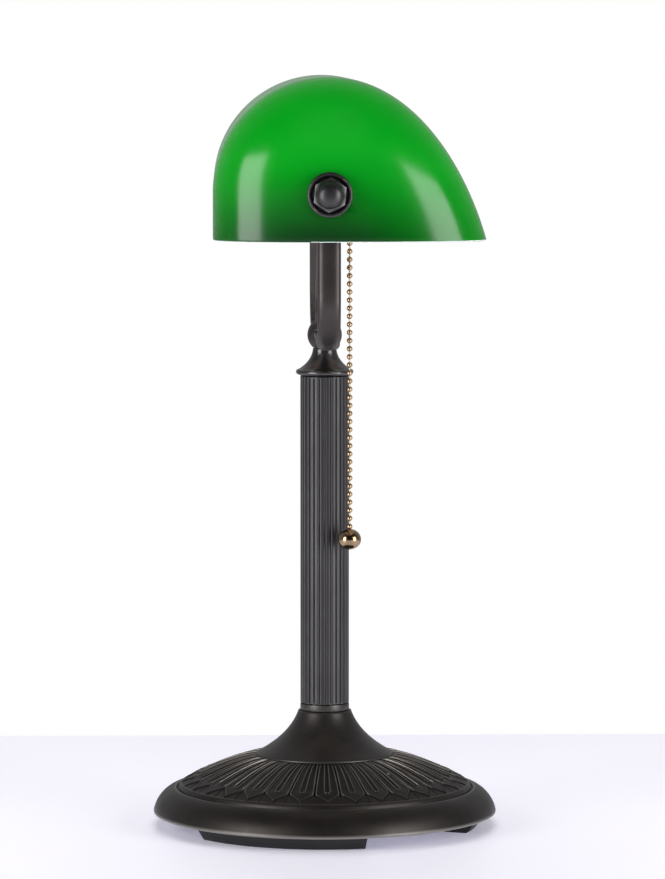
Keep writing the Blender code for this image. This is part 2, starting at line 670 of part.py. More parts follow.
def switch():
    """Pull-chain switch: moulded body, drum on its axle, return spring and the chain's spout."""
    body = lay_along_x(cylinder("switch_body", 0.0160, -0.0235, -0.0010, PHENOLIC, 32))
    well = cylinder("drum_well", 0.0076, -0.0250, -0.0130, STEEL, 24, CUTTERS)
    combine(body, lay_along_x(well, 1, DRUM_Y, DRUM_Z))
    bearing = cylinder("axle_hole", 0.0015, -0.0140, -0.0110, STEEL, 12, CUTTERS)
    combine(body, lay_along_x(bearing, 1, DRUM_Y, DRUM_Z))
    throat = cylinder("chain_throat", 0.0036, 0.3150, DRUM_Z, STEEL, 20, CUTTERS)
    throat.location = (CHAIN_X, CHAIN_Y, 0.0)
    combine(body, throat)

    drum = [(0.0015, 0.0028), (0.0070, 0.0028), (0.0070, 0.0020), (0.0042, 0.0018),
            (0.0042, -0.0018), (0.0070, -0.0020), (0.0070, -0.0028), (0.0015, -0.0028)]
    drum_item = lay_along_x(turned("switch_drum", drum, 20, NYLON), 1, DRUM_Y, DRUM_Z)
    drum_item.location.x = CHAIN_X

    axle = [(0.0, -0.0113), (0.0012, -0.0113), (0.0012, -0.0234), (0.0, -0.0234)]
    lay_along_x(turned("drum_axle", axle, 12, STEEL, closed=False), 1, DRUM_Y, DRUM_Z)

    turns = 2.5
    coil = []
    for i in range(int(turns * 10) + 1):
        turn = 2 * math.pi * i / 10
        coil.append((-0.0165 + 0.0028 * i / (turns * 10), DRUM_Y + 0.0035 * math.cos(turn),
                     DRUM_Z + 0.0035 * math.sin(turn)))
    solid_from(curve_object("return_spring", coil, 0.0004, resolution=1), STEEL)

    spout = [(0.0021, 0.3225), (0.0032, 0.3225), (0.0032, 0.3160), (0.0038, 0.3134),
             (0.0036, 0.3130), (0.0028, 0.3130), (0.0021, 0.3142)]
    spout_item = turned("chain_spout", spout, 20, BRASS)
    spout_item.location = (CHAIN_X, CHAIN_Y, 0.0)


def pull_chain():
    """The chain's short length inside the spout, and its hanging length with the pull ball."""
    upper = cylinder("chain_top", CHAIN_RADIUS, CHAIN_JOINT_Z + CHAIN_RADIUS + WALL_GAP, DRUM_Z,
                     ANTIQUE_BRASS, 10)
    upper.location = (CHAIN_X, CHAIN_Y, 0.0)

    shoulder = arc((0.0, 0.0), CHAIN_RADIUS, 60.0, 0.0, 2)
    lower_end = BALL_Z + BALL_HALF_HEIGHT + WALL_GAP - CHAIN_JOINT_Z
    drop = [(0.0, CHAIN_RADIUS)] + shoulder + [(CHAIN_RADIUS, lower_end), (0.0, lower_end)]
    hanging = turned("pull_chain", drop, 10, ANTIQUE_BRASS, closed=False)
    hanging.location = (CHAIN_X, CHAIN_Y, CHAIN_JOINT_Z)

    outline = [(0.0, BALL_HALF_HEIGHT)]
    for i in range(1, 8):
        turn = math.radians(90.0 - 22.5 * i)
        outline.append((BALL_RADIUS * math.cos(turn), BALL_HALF_HEIGHT * math.sin(turn)))
    outline.append((0.0, -BALL_HALF_HEIGHT))
    ball = turned("pull_ball", outline, 16, ANTIQUE_BRASS, closed=False)
    ball.location = (CHAIN_X, CHAIN_Y, BALL_Z)


def bulb():
    """Small A-shape bulb with a 26 mm screw cap: envelope, stem, cap, insulator and tip."""
    widest = 0.0240
    centre = 0.0905 - widest
    ball = arc((0.0, centre), widest, 90.0, -25.0, 7)
    neck = bezier(ball[-1], (0.0150, 0.0430), (0.0123, 0.0300), 3)[1:]
    outer = ball + neck + [(0.0123, 0.0235)]
    thin = 0.0008
    inner_ball = arc((0.0, centre), widest - thin, -25.0, 90.0, 7)
    inner_neck = bezier((0.0115, 0.0300), (0.0142, 0.0430), inner_ball[0], 3)[:-1]
    profile = outer + [(0.0115, 0.0235)] + inner_neck + inner_ball
    profile[0] = (0.0, profile[0][1])
    profile[-1] = (0.0, profile[-1][1])
    lay_along_x(turned("bulb_envelope", profile, 18, BULB_GLASS, closed=False))

    stem = [(0.0, 0.0560), (0.0030, 0.0540), (0.0040, 0.0400), (0.0100, 0.0250),
            (0.0100, 0.0235), (0.0, 0.0235)]
    lay_along_x(turned("bulb_stem", stem, 10, BULB_GLASS, closed=False))

    cap = [(0.0126, 0.0270), (0.0131, 0.0270), (0.0131, 0.0070), (0.0118, 0.0052),
           (0.0112, 0.0052), (0.0126, 0.0074)]
    lay_along_x(turned("bulb_cap", cap, 20, ALUMINIUM))

    insulator = [(0.0, 0.0066), (0.0108, 0.0066), (0.0106, 0.0048), (0.0062, 0.0038), (0.0, 0.0038)]
    lay_along_x(turned("bulb_insulator", insulator, 16, PHENOLIC, closed=False))

    tip = [(0.0, 0.0035), (0.0046, 0.0035), (0.0040, 0.0031), (0.0, 0.0031)]
    lay_along_x(turned("bulb_tip", tip, 16, BRASS, closed=False))


def wiring_lead():
    """Two-core lead from the base's terminal block, up the rod and round into the socket cap."""
    bend = 0.0080
    path = [on_circle(r, LEAD_ANGLE, LEAD_Z) for r in (0.0432, 0.0320, 0.0200, bend)]
    for degrees in (22.5, 45.0, 67.5, 90.0):
        turn = math.radians(degrees)
        path.append(on_circle(bend * (1 - math.sin(turn)), LEAD_ANGLE,
                              LEAD_Z + bend * (1 - math.cos(turn))))
    rungs = 17
    for i in range(1, rungs + 1):
        path.append(Vector((0.0, 0.0, ROD_BOTTOM + (0.2560 - ROD_BOTTOM) * i / rungs)))
    path += [Vector((x, 0.0, z)) for x, z in socket_arm_path()[1:]]
    path.append(Vector((-0.0262, 0.0, SOCKET_Z)))
    return solid_from(curve_object("wiring_lead", path, LEAD_RADIUS, resolution=1), LEAD_SKIN)


# ---------------------------------------------------------------- build
def build():
    base_casting()
    base_weight()
    bottom_plate()
    plate_screws()
    foot_pads()
    cord_gland()
    terminal_block()
    rod_fasteners()
    threaded_rod()
    column_bell()
    column_ring()
    column_tube()
    column_cap()
    yoke_hub()
    yoke_arms()
    pivot_hardware()
    shade_glass()
    socket_arm()
    socket_shells()
    centre_contact()
    switch()
    pull_chain()
    bulb()
    wiring_lead()


build()
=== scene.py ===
import math

import bmesh
import bpy
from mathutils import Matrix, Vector


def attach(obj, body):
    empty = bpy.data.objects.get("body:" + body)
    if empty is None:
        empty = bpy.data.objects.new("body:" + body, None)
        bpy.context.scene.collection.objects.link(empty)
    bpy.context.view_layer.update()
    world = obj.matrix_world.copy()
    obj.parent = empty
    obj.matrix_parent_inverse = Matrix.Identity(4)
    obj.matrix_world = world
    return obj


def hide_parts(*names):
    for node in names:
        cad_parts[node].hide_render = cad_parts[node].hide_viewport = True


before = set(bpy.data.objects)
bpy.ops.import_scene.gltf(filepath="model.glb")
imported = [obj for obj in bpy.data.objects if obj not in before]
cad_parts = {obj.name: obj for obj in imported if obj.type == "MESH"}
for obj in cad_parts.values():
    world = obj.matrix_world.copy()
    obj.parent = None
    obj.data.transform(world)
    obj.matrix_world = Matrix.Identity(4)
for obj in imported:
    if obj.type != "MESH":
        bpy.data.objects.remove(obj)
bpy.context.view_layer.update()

# ---------------------------------------------------------------- camera, lights and floor
# The lamp stands on a pale table in front of a bright backdrop, seen a little from above and
# square on to its left end. Tall soft boxes stand at both sides of the camera, where the room is
# dark, so every turned part has a dark middle, two soft highlights and bright edges.
scene = bpy.context.scene
scene.view_settings.view_transform = "Standard"

CAMERA_PLACE = (-2.3995, 0.0500, 0.4050)
LOOK_AT = Vector((0.0, -0.0041, 0.2030))
LENS = 188.8                          # millimetres
bpy.ops.object.camera_add(location=CAMERA_PLACE)
camera = bpy.context.object
camera.data.lens = LENS
aim = LOOK_AT - camera.location
camera.rotation_euler = aim.to_track_quat("-Z", "Y").to_euler()
scene.camera = camera


def soft_box(name, place, target, width, height, power, mirrored=True):
    """A rectangular soft light facing a target; only a mirrored one shows in reflections."""
    bpy.ops.object.light_add(type="AREA", location=place)
    light = bpy.context.object
    light.name = name
    light.data.shape = "RECTANGLE"
    light.data.size = width
    light.data.size_y = height
    light.data.energy = power
    light.rotation_euler = (Vector(target) - Vector(place)).to_track_quat("-Z", "Y").to_euler()
    light.visible_camera = False
    light.visible_glossy = mirrored


soft_box("overhead_box", (0.62, 0.0, 1.35), (0.0, 0.0, 0.15), 0.9, 0.8, 9.5, mirrored=False)
soft_box("overhead_fill", (-0.85, 0.0, 1.00), (0.0, 0.0, 0.30), 0.8, 0.8, 4.0, mirrored=False)
soft_box("strip_back_side", (-0.75, 0.95, 0.30), (0.0, 0.0, 0.22), 0.60, 1.00, 12.5)
soft_box("strip_front_side", (-0.75, -0.95, 0.30), (0.0, 0.0, 0.22), 0.60, 1.00, 12.5)

# The backdrop is white where it is seen, but lights the lamp mostly from behind it.
world = bpy.data.worlds.new("white_studio")
scene.world = world
world.use_nodes = True
sky = world.node_tree
shown_white = sky.nodes["Background"]
shown_white.inputs["Color"].default_value = (1.0, 1.0, 1.0, 1.0)
shown_white.inputs["Strength"].default_value = 1.0
room_light = sky.nodes.new("ShaderNodeBackground")
room_light.inputs["Color"].default_value = (0.97, 0.97, 1.0, 1.0)
facing = sky.nodes.new("ShaderNodeTexCoord")
apart = sky.nodes.new("ShaderNodeSeparateXYZ")
deepen = sky.nodes.new("ShaderNodeMapRange")
deepen.interpolation_type = "SMOOTHSTEP"
deepen.inputs["From Min"].default_value = -0.60
deepen.inputs["From Max"].default_value = 0.75
deepen.inputs["To Min"].default_value = 0.02
deepen.inputs["To Max"].default_value = 0.42
sky.links.new(facing.outputs["Generated"], apart.inputs[0])
sky.links.new(apart.outputs["X"], deepen.inputs["Value"])
sky.links.new(deepen.outputs["Result"], room_light.inputs["Strength"])
ray = sky.nodes.new("ShaderNodeLightPath")
either = sky.nodes.new("ShaderNodeMixShader")
sky.links.new(ray.outputs["Is Camera Ray"], either.inputs["Fac"])
sky.links.new(room_light.outputs[0], either.inputs[1])
sky.links.new(shown_white.outputs[0], either.inputs[2])
sky.links.new(either.outputs[0], sky.nodes["World Output"].inputs["Surface"])


def start_fresh():
    """Select nothing, so that what comes next is made on its own."""
    bpy.ops.object.select_all(action="DESELECT")


TABLE_SIZE = 16.0
TABLE_EDGE = 0.317                    # its far edge, beyond the lamp
start_fresh()
bpy.ops.mesh.primitive_plane_add(size=TABLE_SIZE, location=(TABLE_EDGE - TABLE_SIZE / 2, 0.0, 0.0))
table_top = bpy.context.object
table_top.name = "table_top"
table_paint_and_glow = bpy.data.materials.new("table_paint_and_glow")
table_paint_and_glow.use_nodes = True
table_shader = table_paint_and_glow.node_tree.nodes["Principled BSDF"]
table_shader.inputs["Base Color"].default_value = (0.90, 0.89, 0.92, 1.0)
# The table glows faintly lavender. This is painted bounce light on the lamp from below and a painted lavender
# tint in its shadows.
table_shader.inputs["Emission Color"].default_value = (0.80, 0.77, 1.0, 1.0)
table_shader.inputs["Emission Strength"].default_value = 0.235
table_shader.inputs["Roughness"].default_value = 0.35
table_top.data.materials.append(table_paint_and_glow)

# ---------------------------------------------------------------- base casting
# The base is one sand casting, oil-rubbed to a brown black: a crown under the column, a sloping
# ring of leaf ornament, a groove and a rolled rim. It is hollow underneath for the ballast.
LEAVES = 32
LEAF_HALF = math.pi / LEAVES          # half the angle that one leaf takes
LEAF_INNER = 0.0345
LEAF_OUTER = 0.0752
LEAF_TIP = 0.0749
LEAF_SHOULDER = 0.0668                # the leaves' edges leave each other here and run to the tips
LOOP_END = 0.0652                     # centre of the round end of the raised loop on each leaf
LOOP_SHARE = 0.235                    # the loop's half width, as a share of the leaf's
CROWN_TOP = 0.0371
SLOPE_START = 0.0370                  # the ground falls from this radius outwards
SLOPE_RUN = 0.0382
SLOPE_DROP = 0.0144
ROD_HOLE = 0.0054
HOLLOW_TOP = 0.0339


def slope_height(r):
    """Height of the ornament's ground, slightly convex, at radius r."""
    return CROWN_TOP - SLOPE_DROP * (max(r - SLOPE_START, 0.0) / SLOPE_RUN) ** 1.4


def bump(distance, width):
    """A rounded ridge, 1 on its line and near 0 at one and a half widths from it."""
    return math.exp(-(distance / width) ** 2)


def step(low, high, value):
    """A smooth step: 0 up to low, and 1 from high onwards."""
    share = min(max((value - low) / (high - low), 0.0), 1.0)
    return share * share * (3 - 2 * share)


def leaf_relief(across, r):
    """Height of the leaf ornament above its ground; across is the distance from a leaf's centre line."""
    half = LEAF_HALF * r
    edge = half - 0.00034
    lean = 0.0
    if r > LEAF_SHOULDER:
        share = min((r - LEAF_SHOULDER) / (LEAF_TIP - LEAF_SHOULDER), 1.0)
        lean = edge * 0.5 * math.pi * math.sin(math.pi * share) / (LEAF_TIP - LEAF_SHOULDER)
        edge *= 0.5 + 0.5 * math.cos(math.pi * share)
    inside = (edge - across) / math.hypot(1.0, lean)
    loop_half = LOOP_SHARE * LEAF_HALF * min(r, LOOP_END)
    if r < LOOP_END:
        from_loop = across - loop_half
    else:
        from_loop = math.hypot(across, r - LOOP_END) - loop_half
    field = -0.00034 + 0.00042 * step(LOOP_END - 0.002, LEAF_SHOULDER + 0.002, r)
    leaf = field - 0.00022 * (1 - step(-0.0003, 0.0, from_loop))
    leaf += 0.00082 * bump(from_loop, 0.00025)
    leaf += 0.00056 * bump(inside - 0.00042, 0.00024) * (1 - 0.6 * step(0.068, 0.072, r))
    from_border = half - across
    under = -0.00040 - 0.00040 * bump(from_border, 0.00028) - 0.00030 * bump(inside + 0.0003, 0.0002)
    if r < LEAF_SHOULDER + 0.001:
        under = -0.00085
    share = step(-0.00022, 0.00006, inside)
    height = under + (leaf - under) * share
    return height * step(LEAF_INNER + 0.0004, 0.0356, r) * (1 - step(LEAF_TIP, LEAF_OUTER, r))


def curve_points(start, first_pull, second_pull, end, count):
    """Points along a cubic curve, both ends included."""
    points = []
    for i in range(count + 1):
        t = i / count
        weights = ((1 - t) ** 3, 3 * t * (1 - t) ** 2, 3 * t * t * (1 - t), t ** 3)
        points.append(tuple(sum(w * p[axis] for w, p in zip(weights, (start, first_pull, second_pull, end)))
                            for axis in (0, 1)))
    return points


def arc_points(centre, radius, first, last, count):
    """Points on a circle, angles in degrees, both ends included."""
    turns = [math.radians(first + (last - first) * i / count) for i in range(count + 1)]
    return [(centre[0] + radius * math.cos(a), centre[1] + radius * math.sin(a)) for a in turns]


def pick(piece):
    """Make a piece the only selected one, and the active one."""
    start_fresh()
    piece.select_set(True)
    bpy.context.view_layer.objects.active = piece


def extend(run, parts=1):
    """Extrude the selected outline along a run, in equal parts."""
    for _ in range(parts):
        bpy.ops.mesh.extrude_region_move(TRANSFORM_OT_translate={"value": tuple(c / parts for c in run)})


def face_outwards():
    """Turn every face of the piece being edited outwards, and leave edit mode."""
    bpy.ops.mesh.select_all(action="SELECT")
    bpy.ops.mesh.normals_make_consistent(inside=False)
    bpy.ops.object.mode_set(mode="OBJECT")


def walk(rings):
    """Draw the selected ring along a profile of (radius, height), one extrusion at a time."""
    for (r0, z0), (r1, z1) in zip(rings, rings[1:]):
        extend((0, 0, z1 - z0))
        bpy.ops.transform.resize(value=(r1 / r0, r1 / r0, 1), center_override=(0, 0, 0))


def select_rings(piece, *rings):
    """Select only the points that lie on these rings of (radius, height)."""
    points = bmesh.from_edit_mesh(piece.data)
    for point in points.verts:
        out = math.hypot(point.co.x, point.co.y)
        point.select_set(any(abs(out - r) < 0.00002 and abs(point.co.z - z) < 0.00002
                             for r, z in rings))
    points.select_flush_mode()
    bmesh.update_edit_mesh(piece.data)


def close_pole(rise):
    """Draw the selected ring together into one point, a little above or below it."""
    extend((0, 0, rise))
    bpy.ops.mesh.merge(type="CENTER")


def turned(rings, sides):
    """A turned solid from its closed profile; where the profile starts or ends at radius 0, it has a pole."""
    around = [ring for ring in rings if ring[0] > 0]
    start_fresh()
    bpy.ops.mesh.primitive_circle_add(vertices=sides, radius=around[0][0], location=(0, 0, around[0][1]))
    piece = bpy.context.object
    bpy.ops.object.transform_apply()
    bpy.ops.object.mode_set(mode="EDIT")
    walk(around)
    if rings[-1][0] == 0:
        close_pole(rings[-1][1] - around[-1][1])
    if rings[0][0] == 0:
        select_rings(piece, around[0])
        close_pole(rings[0][1] - around[0][1])
    if len(around) == len(rings):
        select_rings(piece, around[0], around[-1])
        bpy.ops.mesh.bridge_edge_loops()
    face_outwards()
    return piece


def add_modifier(piece, kind, **settings):
    """Add one modifier to a piece and apply it."""
    bpy.context.view_layer.objects.active = piece
    bpy.ops.object.modifier_add(type=kind)
    modifier = piece.modifiers[-1]
    for setting, value in settings.items():
        setattr(modifier, setting, value)
    bpy.ops.object.modifier_apply(modifier=modifier.name)


def round_edges(piece, width, segments=2):
    add_modifier(piece, "BEVEL", width=width, segments=segments, limit_method="ANGLE",
                 angle_limit=math.radians(32))


def cut(piece, tool, operation="DIFFERENCE"):
    """Cut a piece with a tool, or join the tool to it, and put the tool away."""
    add_modifier(piece, "BOOLEAN", operation=operation, solver="EXACT", object=tool)
    bpy.data.objects.remove(tool, do_unlink=True)


def fit(piece, name, body, material, nodes, angle=32):
    """Name a finished piece, give it its finish, and set it in the lamp in place of its CAD nodes."""
    piece.name = name
    piece.data.name = name
    if not piece.data.materials:
        piece.data.materials.append(material)
    pick(piece)
    bpy.ops.object.transform_apply()
    bpy.ops.object.shade_smooth_by_angle(angle=math.radians(angle))
    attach(piece, body)
    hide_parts(*nodes)
    return piece


def effect(name, inputs, outputs):
    """A shader node group that more than one finish uses, with its inputs' usual values."""
    group = bpy.data.node_groups.new(name, "ShaderNodeTree")
    for socket, kind, value in inputs:
        made = group.interface.new_socket(socket, in_out="INPUT", socket_type="NodeSocket" + kind)
        made.default_value = value
    for socket, kind in outputs:
        group.interface.new_socket(socket, in_out="OUTPUT", socket_type="NodeSocket" + kind)
    return group, group.nodes.new("NodeGroupInput"), group.nodes.new("NodeGroupOutput")


def noise(group, given, size_socket, detail, roughness):
    """A cloud of noise on the piece's own coordinates, its size from the group's input."""
    place = group.nodes.new("ShaderNodeTexCoord")
    cloud = group.nodes.new("ShaderNodeTexNoise")
    cloud.inputs["Detail"].default_value = detail
    cloud.inputs["Roughness"].default_value = roughness
    group.links.new(place.outputs["Object"], cloud.inputs["Vector"])
    group.links.new(given.outputs[size_socket], cloud.inputs["Scale"])
    return cloud


def mix_colours(group):
    """A new node that blends two colours."""
    blend = group.nodes.new("ShaderNodeMix")
    blend.data_type = "RGBA"
    return blend


# Slow clouds of a second colour, as in any finish that was laid on by hand.
mottle, given, made = effect("mottle", [("Colour", "Color", (0.5, 0.5, 0.5, 1)),
                                        ("Second", "Color", (0.4, 0.4, 0.4, 1)),
                                        ("Size", "Float", 60.0)],
                             [("Colour", "Color")])
cloud = noise(mottle, given, "Size", 5.0, 0.6)
spread = mottle.nodes.new("ShaderNodeMapRange")
spread.inputs["From Min"].default_value = 0.35
spread.inputs["From Max"].default_value = 0.68
blend = mix_colours(mottle)
mottle.links.new(cloud.outputs["Fac"], spread.inputs["Value"])
mottle.links.new(spread.outputs["Result"], blend.inputs["Factor"])
mottle.links.new(given.outputs["Colour"], blend.inputs["A"])
mottle.links.new(given.outputs["Second"], blend.inputs["B"])
mottle.links.new(blend.outputs["Result"], made.inputs["Colour"])

# Ridges and corners lighter, partly as wear rubbed by hands and cloths and partly as painted highlight;
# hollows darker, as painted shade.
wear_and_shading, given, made = effect("wear_and_painted_shading", [("Colour", "Color", (0.5, 0.5, 0.5, 1)),
                                              ("Wear And Sheen", "Color", (0.8, 0.8, 0.8, 1)),
                                              ("Hollow", "Color", (0.01, 0.01, 0.01, 1)),
                                              ("Amount", "Float", 0.5)],
                             [("Colour", "Color"), ("Mask", "Float")])
shape = wear_and_shading.nodes.new("ShaderNodeNewGeometry")
convex_share = wear_and_shading.nodes.new("ShaderNodeMapRange")
convex_share.inputs["From Min"].default_value = 0.515
convex_share.inputs["From Max"].default_value = 0.565
sunk = wear_and_shading.nodes.new("ShaderNodeMapRange")
sunk.inputs["From Min"].default_value = 0.485
sunk.inputs["From Max"].default_value = 0.43
less = wear_and_shading.nodes.new("ShaderNodeMath")
less.operation = "MULTIPLY"
low = wear_and_shading.nodes.new("ShaderNodeMath")
low.operation = "MULTIPLY"
lift = mix_colours(wear_and_shading)
fill = mix_colours(wear_and_shading)
wear_and_shading.links.new(shape.outputs["Pointiness"], convex_share.inputs["Value"])
wear_and_shading.links.new(shape.outputs["Pointiness"], sunk.inputs["Value"])
wear_and_shading.links.new(convex_share.outputs["Result"], less.inputs[0])
wear_and_shading.links.new(given.outputs["Amount"], less.inputs[1])
wear_and_shading.links.new(sunk.outputs["Result"], low.inputs[0])
wear_and_shading.links.new(given.outputs["Amount"], low.inputs[1])
wear_and_shading.links.new(less.outputs[0], lift.inputs["Factor"])
wear_and_shading.links.new(given.outputs["Colour"], lift.inputs["A"])
wear_and_shading.links.new(given.outputs["Wear And Sheen"], lift.inputs["B"])
wear_and_shading.links.new(low.outputs[0], fill.inputs["Factor"])
wear_and_shading.links.new(lift.outputs["Result"], fill.inputs["A"])
wear_and_shading.links.new(given.outputs["Hollow"], fill.inputs["B"])
wear_and_shading.links.new(fill.outputs["Result"], made.inputs["Colour"])
wear_and_shading.links.new(less.outputs[0], made.inputs["Mask"])

# The fine tooth of a surface: its small heights, and how they spread its shine.
tooth, given, made = effect("tooth", [("Size", "Float", 900.0), ("Along", "Vector", (1, 1, 1)),
                                      ("Dull", "Float", 0.45), ("Bright", "Float", 0.30)],
                            [("Height", "Float"), ("Roughness", "Float")])
cloud = noise(tooth, given, "Size", 4.0, 0.65)
stretch = tooth.nodes.new("ShaderNodeVectorMath")
stretch.operation = "MULTIPLY"
place = tooth.nodes.new("ShaderNodeTexCoord")
patches = tooth.nodes.new("ShaderNodeTexNoise")
patches.inputs["Scale"].default_value = 45.0
patches.inputs["Detail"].default_value = 4.0
shine = tooth.nodes.new("ShaderNodeMapRange")
shine.inputs["From Min"].default_value = 0.3
shine.inputs["From Max"].default_value = 0.7
tooth.links.new(place.outputs["Object"], stretch.inputs[0])
tooth.links.new(given.outputs["Along"], stretch.inputs[1])
tooth.links.new(stretch.outputs["Vector"], cloud.inputs["Vector"])
tooth.links.new(place.outputs["Object"], patches.inputs["Vector"])
tooth.links.new(patches.outputs["Fac"], shine.inputs["Value"])
tooth.links.new(given.outputs["Dull"], shine.inputs["To Min"])
tooth.links.new(given.outputs["Bright"], shine.inputs["To Max"])
tooth.links.new(cloud.outputs["Fac"], made.inputs["Height"])
tooth.links.new(shine.outputs["Result"], made.inputs["Roughness"])


def finish_of(name, colour, second, dull, bright, metallic=0.0, clouds=60.0, tooth_size=900.0,
              tooth_depth=0.00002, along=(1, 1, 1), wear_and_sheen=None, painted_shade=None, edge_and_hollow_amount=0.0, **plain):
    """A finish: two mottled colours, a roughness from dull to bright, lighter edges (partly rubbed
    wear, partly painted highlight) and painted shade in hollows where that colour is given, a fine tooth, and
    any plain shader inputs."""
    material = bpy.data.materials.new(name)
    material.use_nodes = True
    tree = material.node_tree
    shader = tree.nodes["Principled BSDF"]
    shader.inputs["Metallic"].default_value = metallic
    for socket, value in plain.items():
        shader.inputs[socket.replace("_", " ").title()].default_value = value
    clouded = tree.nodes.new("ShaderNodeGroup")
    clouded.node_tree = mottle
    clouded.inputs["Colour"].default_value = (*colour, 1)
    clouded.inputs["Second"].default_value = (*second, 1)
    clouded.inputs["Size"].default_value = clouds
    shown = clouded.outputs["Colour"]
    if wear_and_sheen:
        wear_and_shading_node = tree.nodes.new("ShaderNodeGroup")
        wear_and_shading_node.node_tree = wear_and_shading
        wear_and_shading_node.inputs["Wear And Sheen"].default_value = (*wear_and_sheen, 1)
        # Hollows take the painted shade colour. Ridges take the lighter colour, partly wear and partly
        # painted highlight.
        wear_and_shading_node.inputs["Hollow"].default_value = (*(painted_shade or colour), 1)
        wear_and_shading_node.inputs["Amount"].default_value = edge_and_hollow_amount
        tree.links.new(shown, wear_and_shading_node.inputs["Colour"])
        shown = wear_and_shading_node.outputs["Colour"]
    tree.links.new(shown, shader.inputs["Base Color"])
    grain = tree.nodes.new("ShaderNodeGroup")
    grain.node_tree = tooth
    grain.inputs["Size"].default_value = tooth_size
    grain.inputs["Along"].default_value = along
    grain.inputs["Dull"].default_value = dull
    grain.inputs["Bright"].default_value = bright
    relief = tree.nodes.new("ShaderNodeBump")
    relief.inputs["Strength"].default_value = 1.0
    relief.inputs["Distance"].default_value = tooth_depth
    tree.links.new(grain.outputs["Height"], relief.inputs["Height"])
    tree.links.new(grain.outputs["Roughness"], shader.inputs["Roughness"])
    tree.links.new(relief.outputs["Normal"], shader.inputs["Normal"])
    return material


# The light ridges here are partly rubbed wear and partly painted highlight. The near-black hollows are
# painted shade.
CAST_BRONZE = finish_of("cast_bronze", (0.044, 0.039, 0.036), (0.032, 0.028, 0.026), 0.48, 0.40,
                        metallic=0.9, clouds=40.0, tooth_size=1400.0, tooth_depth=0.00003,
                        wear_and_sheen=(0.34, 0.32, 0.30), painted_shade=(0.002, 0.0018, 0.0016), edge_and_hollow_amount=1.0)

# One leaf is drawn on a grid and spun round; the rim, the hollow and the crown are walked on from it.
ROWS = 64
COLUMNS = 36
start_fresh()
bpy.ops.mesh.primitive_grid_add(x_subdivisions=ROWS, y_subdivisions=COLUMNS, size=2.0)
base_shell = bpy.context.object
for point in base_shell.data.vertices:
    share = (point.co.x + 1) / 2
    r = LEAF_INNER + (LEAF_OUTER - LEAF_INNER) * share ** 0.9
    turn = point.co.y * LEAF_HALF
    height = slope_height(r) + leaf_relief(abs(point.co.y) * LEAF_HALF * r, r)
    point.co = (r * math.cos(turn), r * math.sin(turn), height)
bpy.ops.object.mode_set(mode="EDIT")
bpy.ops.mesh.select_all(action="SELECT")
bpy.ops.mesh.spin(steps=LEAVES - 1, dupli=True, angle=2 * math.pi * (LEAVES - 1) / LEAVES,
                  center=(0, 0, 0), axis=(0, 0, 1))
bpy.ops.mesh.select_all(action="SELECT")
bpy.ops.mesh.remove_doubles(threshold=0.00001)
select_rings(base_shell, (LEAF_OUTER, slope_height(LEAF_OUTER)))
rim = curve_points((0.0783, 0.0204), (0.0835, 0.0198), (0.0886, 0.0145), (0.0899, 0.0082), 16)
under = [(0.0898, 0.0074), (0.0889, 0.0070), (0.0870, 0.0070), (0.0860, 0.0104), (0.0824, 0.0149),
         (0.0765, 0.0165), (0.0725, 0.0200), (0.0600, 0.0268), (0.0480, 0.0313), (0.0330, HOLLOW_TOP),
         (ROD_HOLE, HOLLOW_TOP)]
lip = curve_points((0.0754, 0.0226), (0.0760, 0.0222), (0.0765, 0.0212), (0.0768, 0.0201), 5)
lip += [(0.0769, 0.0196), (0.0775, 0.0195), (0.0778, 0.0200)]
walk([(LEAF_OUTER, slope_height(LEAF_OUTER))] + lip + rim + under)
select_rings(base_shell, (LEAF_INNER, slope_height(LEAF_INNER)))
walk([(LEAF_INNER, slope_height(LEAF_INNER)), (ROD_HOLE, CROWN_TOP)])
select_rings(base_shell, (ROD_HOLE, HOLLOW_TOP), (ROD_HOLE, CROWN_TOP))
bpy.ops.mesh.bridge_edge_loops()
face_outwards()
fit(base_shell, "base_shell", "stand", CAST_BRONZE, ["base_casting"], angle=60)

# ---------------------------------------------------------------- feet
# Three moulded rubber arcs under the base plate, wider at the top, with a fine edge all round.
# The gaps between them let the cord out.
BLACK_RUBBER = finish_of("black_rubber", (0.0036, 0.0036, 0.0039), (0.0060, 0.0060, 0.0063), 0.62, 0.50,
                         clouds=120.0, tooth_size=2500.0, tooth_depth=0.00002)
FOOT_SPAN = 67.0
FOOT_MIDDLES = (40.5, 160.5, 280.5)


def section(points):
    """A closed outline in the plane y = 0, from (x, z) corners, as one open ring of edges."""
    start_fresh()
    bpy.ops.mesh.primitive_circle_add(vertices=len(points), radius=0.01)
    piece = bpy.context.object
    for corner, (x, z) in zip(piece.data.vertices, points):
        corner.co = (x, 0.0, z)
    return piece


for number, middle in enumerate(FOOT_MIDDLES, 1):
    foot = section([(0.0660, 0.0000), (0.0792, 0.0000), (0.0802, 0.0010), (0.0845, 0.0073),
                    (0.0640, 0.0073), (0.0650, 0.0010)])
    first = math.radians(middle + FOOT_SPAN / 2)
    for corner in foot.data.vertices:
        corner.co = (corner.co.x * math.cos(first), corner.co.x * math.sin(first), corner.co.z)
    bpy.ops.object.mode_set(mode="EDIT")
    bpy.ops.mesh.select_all(action="SELECT")
    bpy.ops.mesh.edge_face_add()
    bpy.ops.mesh.spin(steps=48, angle=math.radians(FOOT_SPAN), center=(0, 0, 0), axis=(0, 0, 1))
    face_outwards()
    round_edges(foot, 0.0004)
    fit(foot, f"rubber_foot_{number}", "stand", BLACK_RUBBER, [f"foot_pad_{number}"])

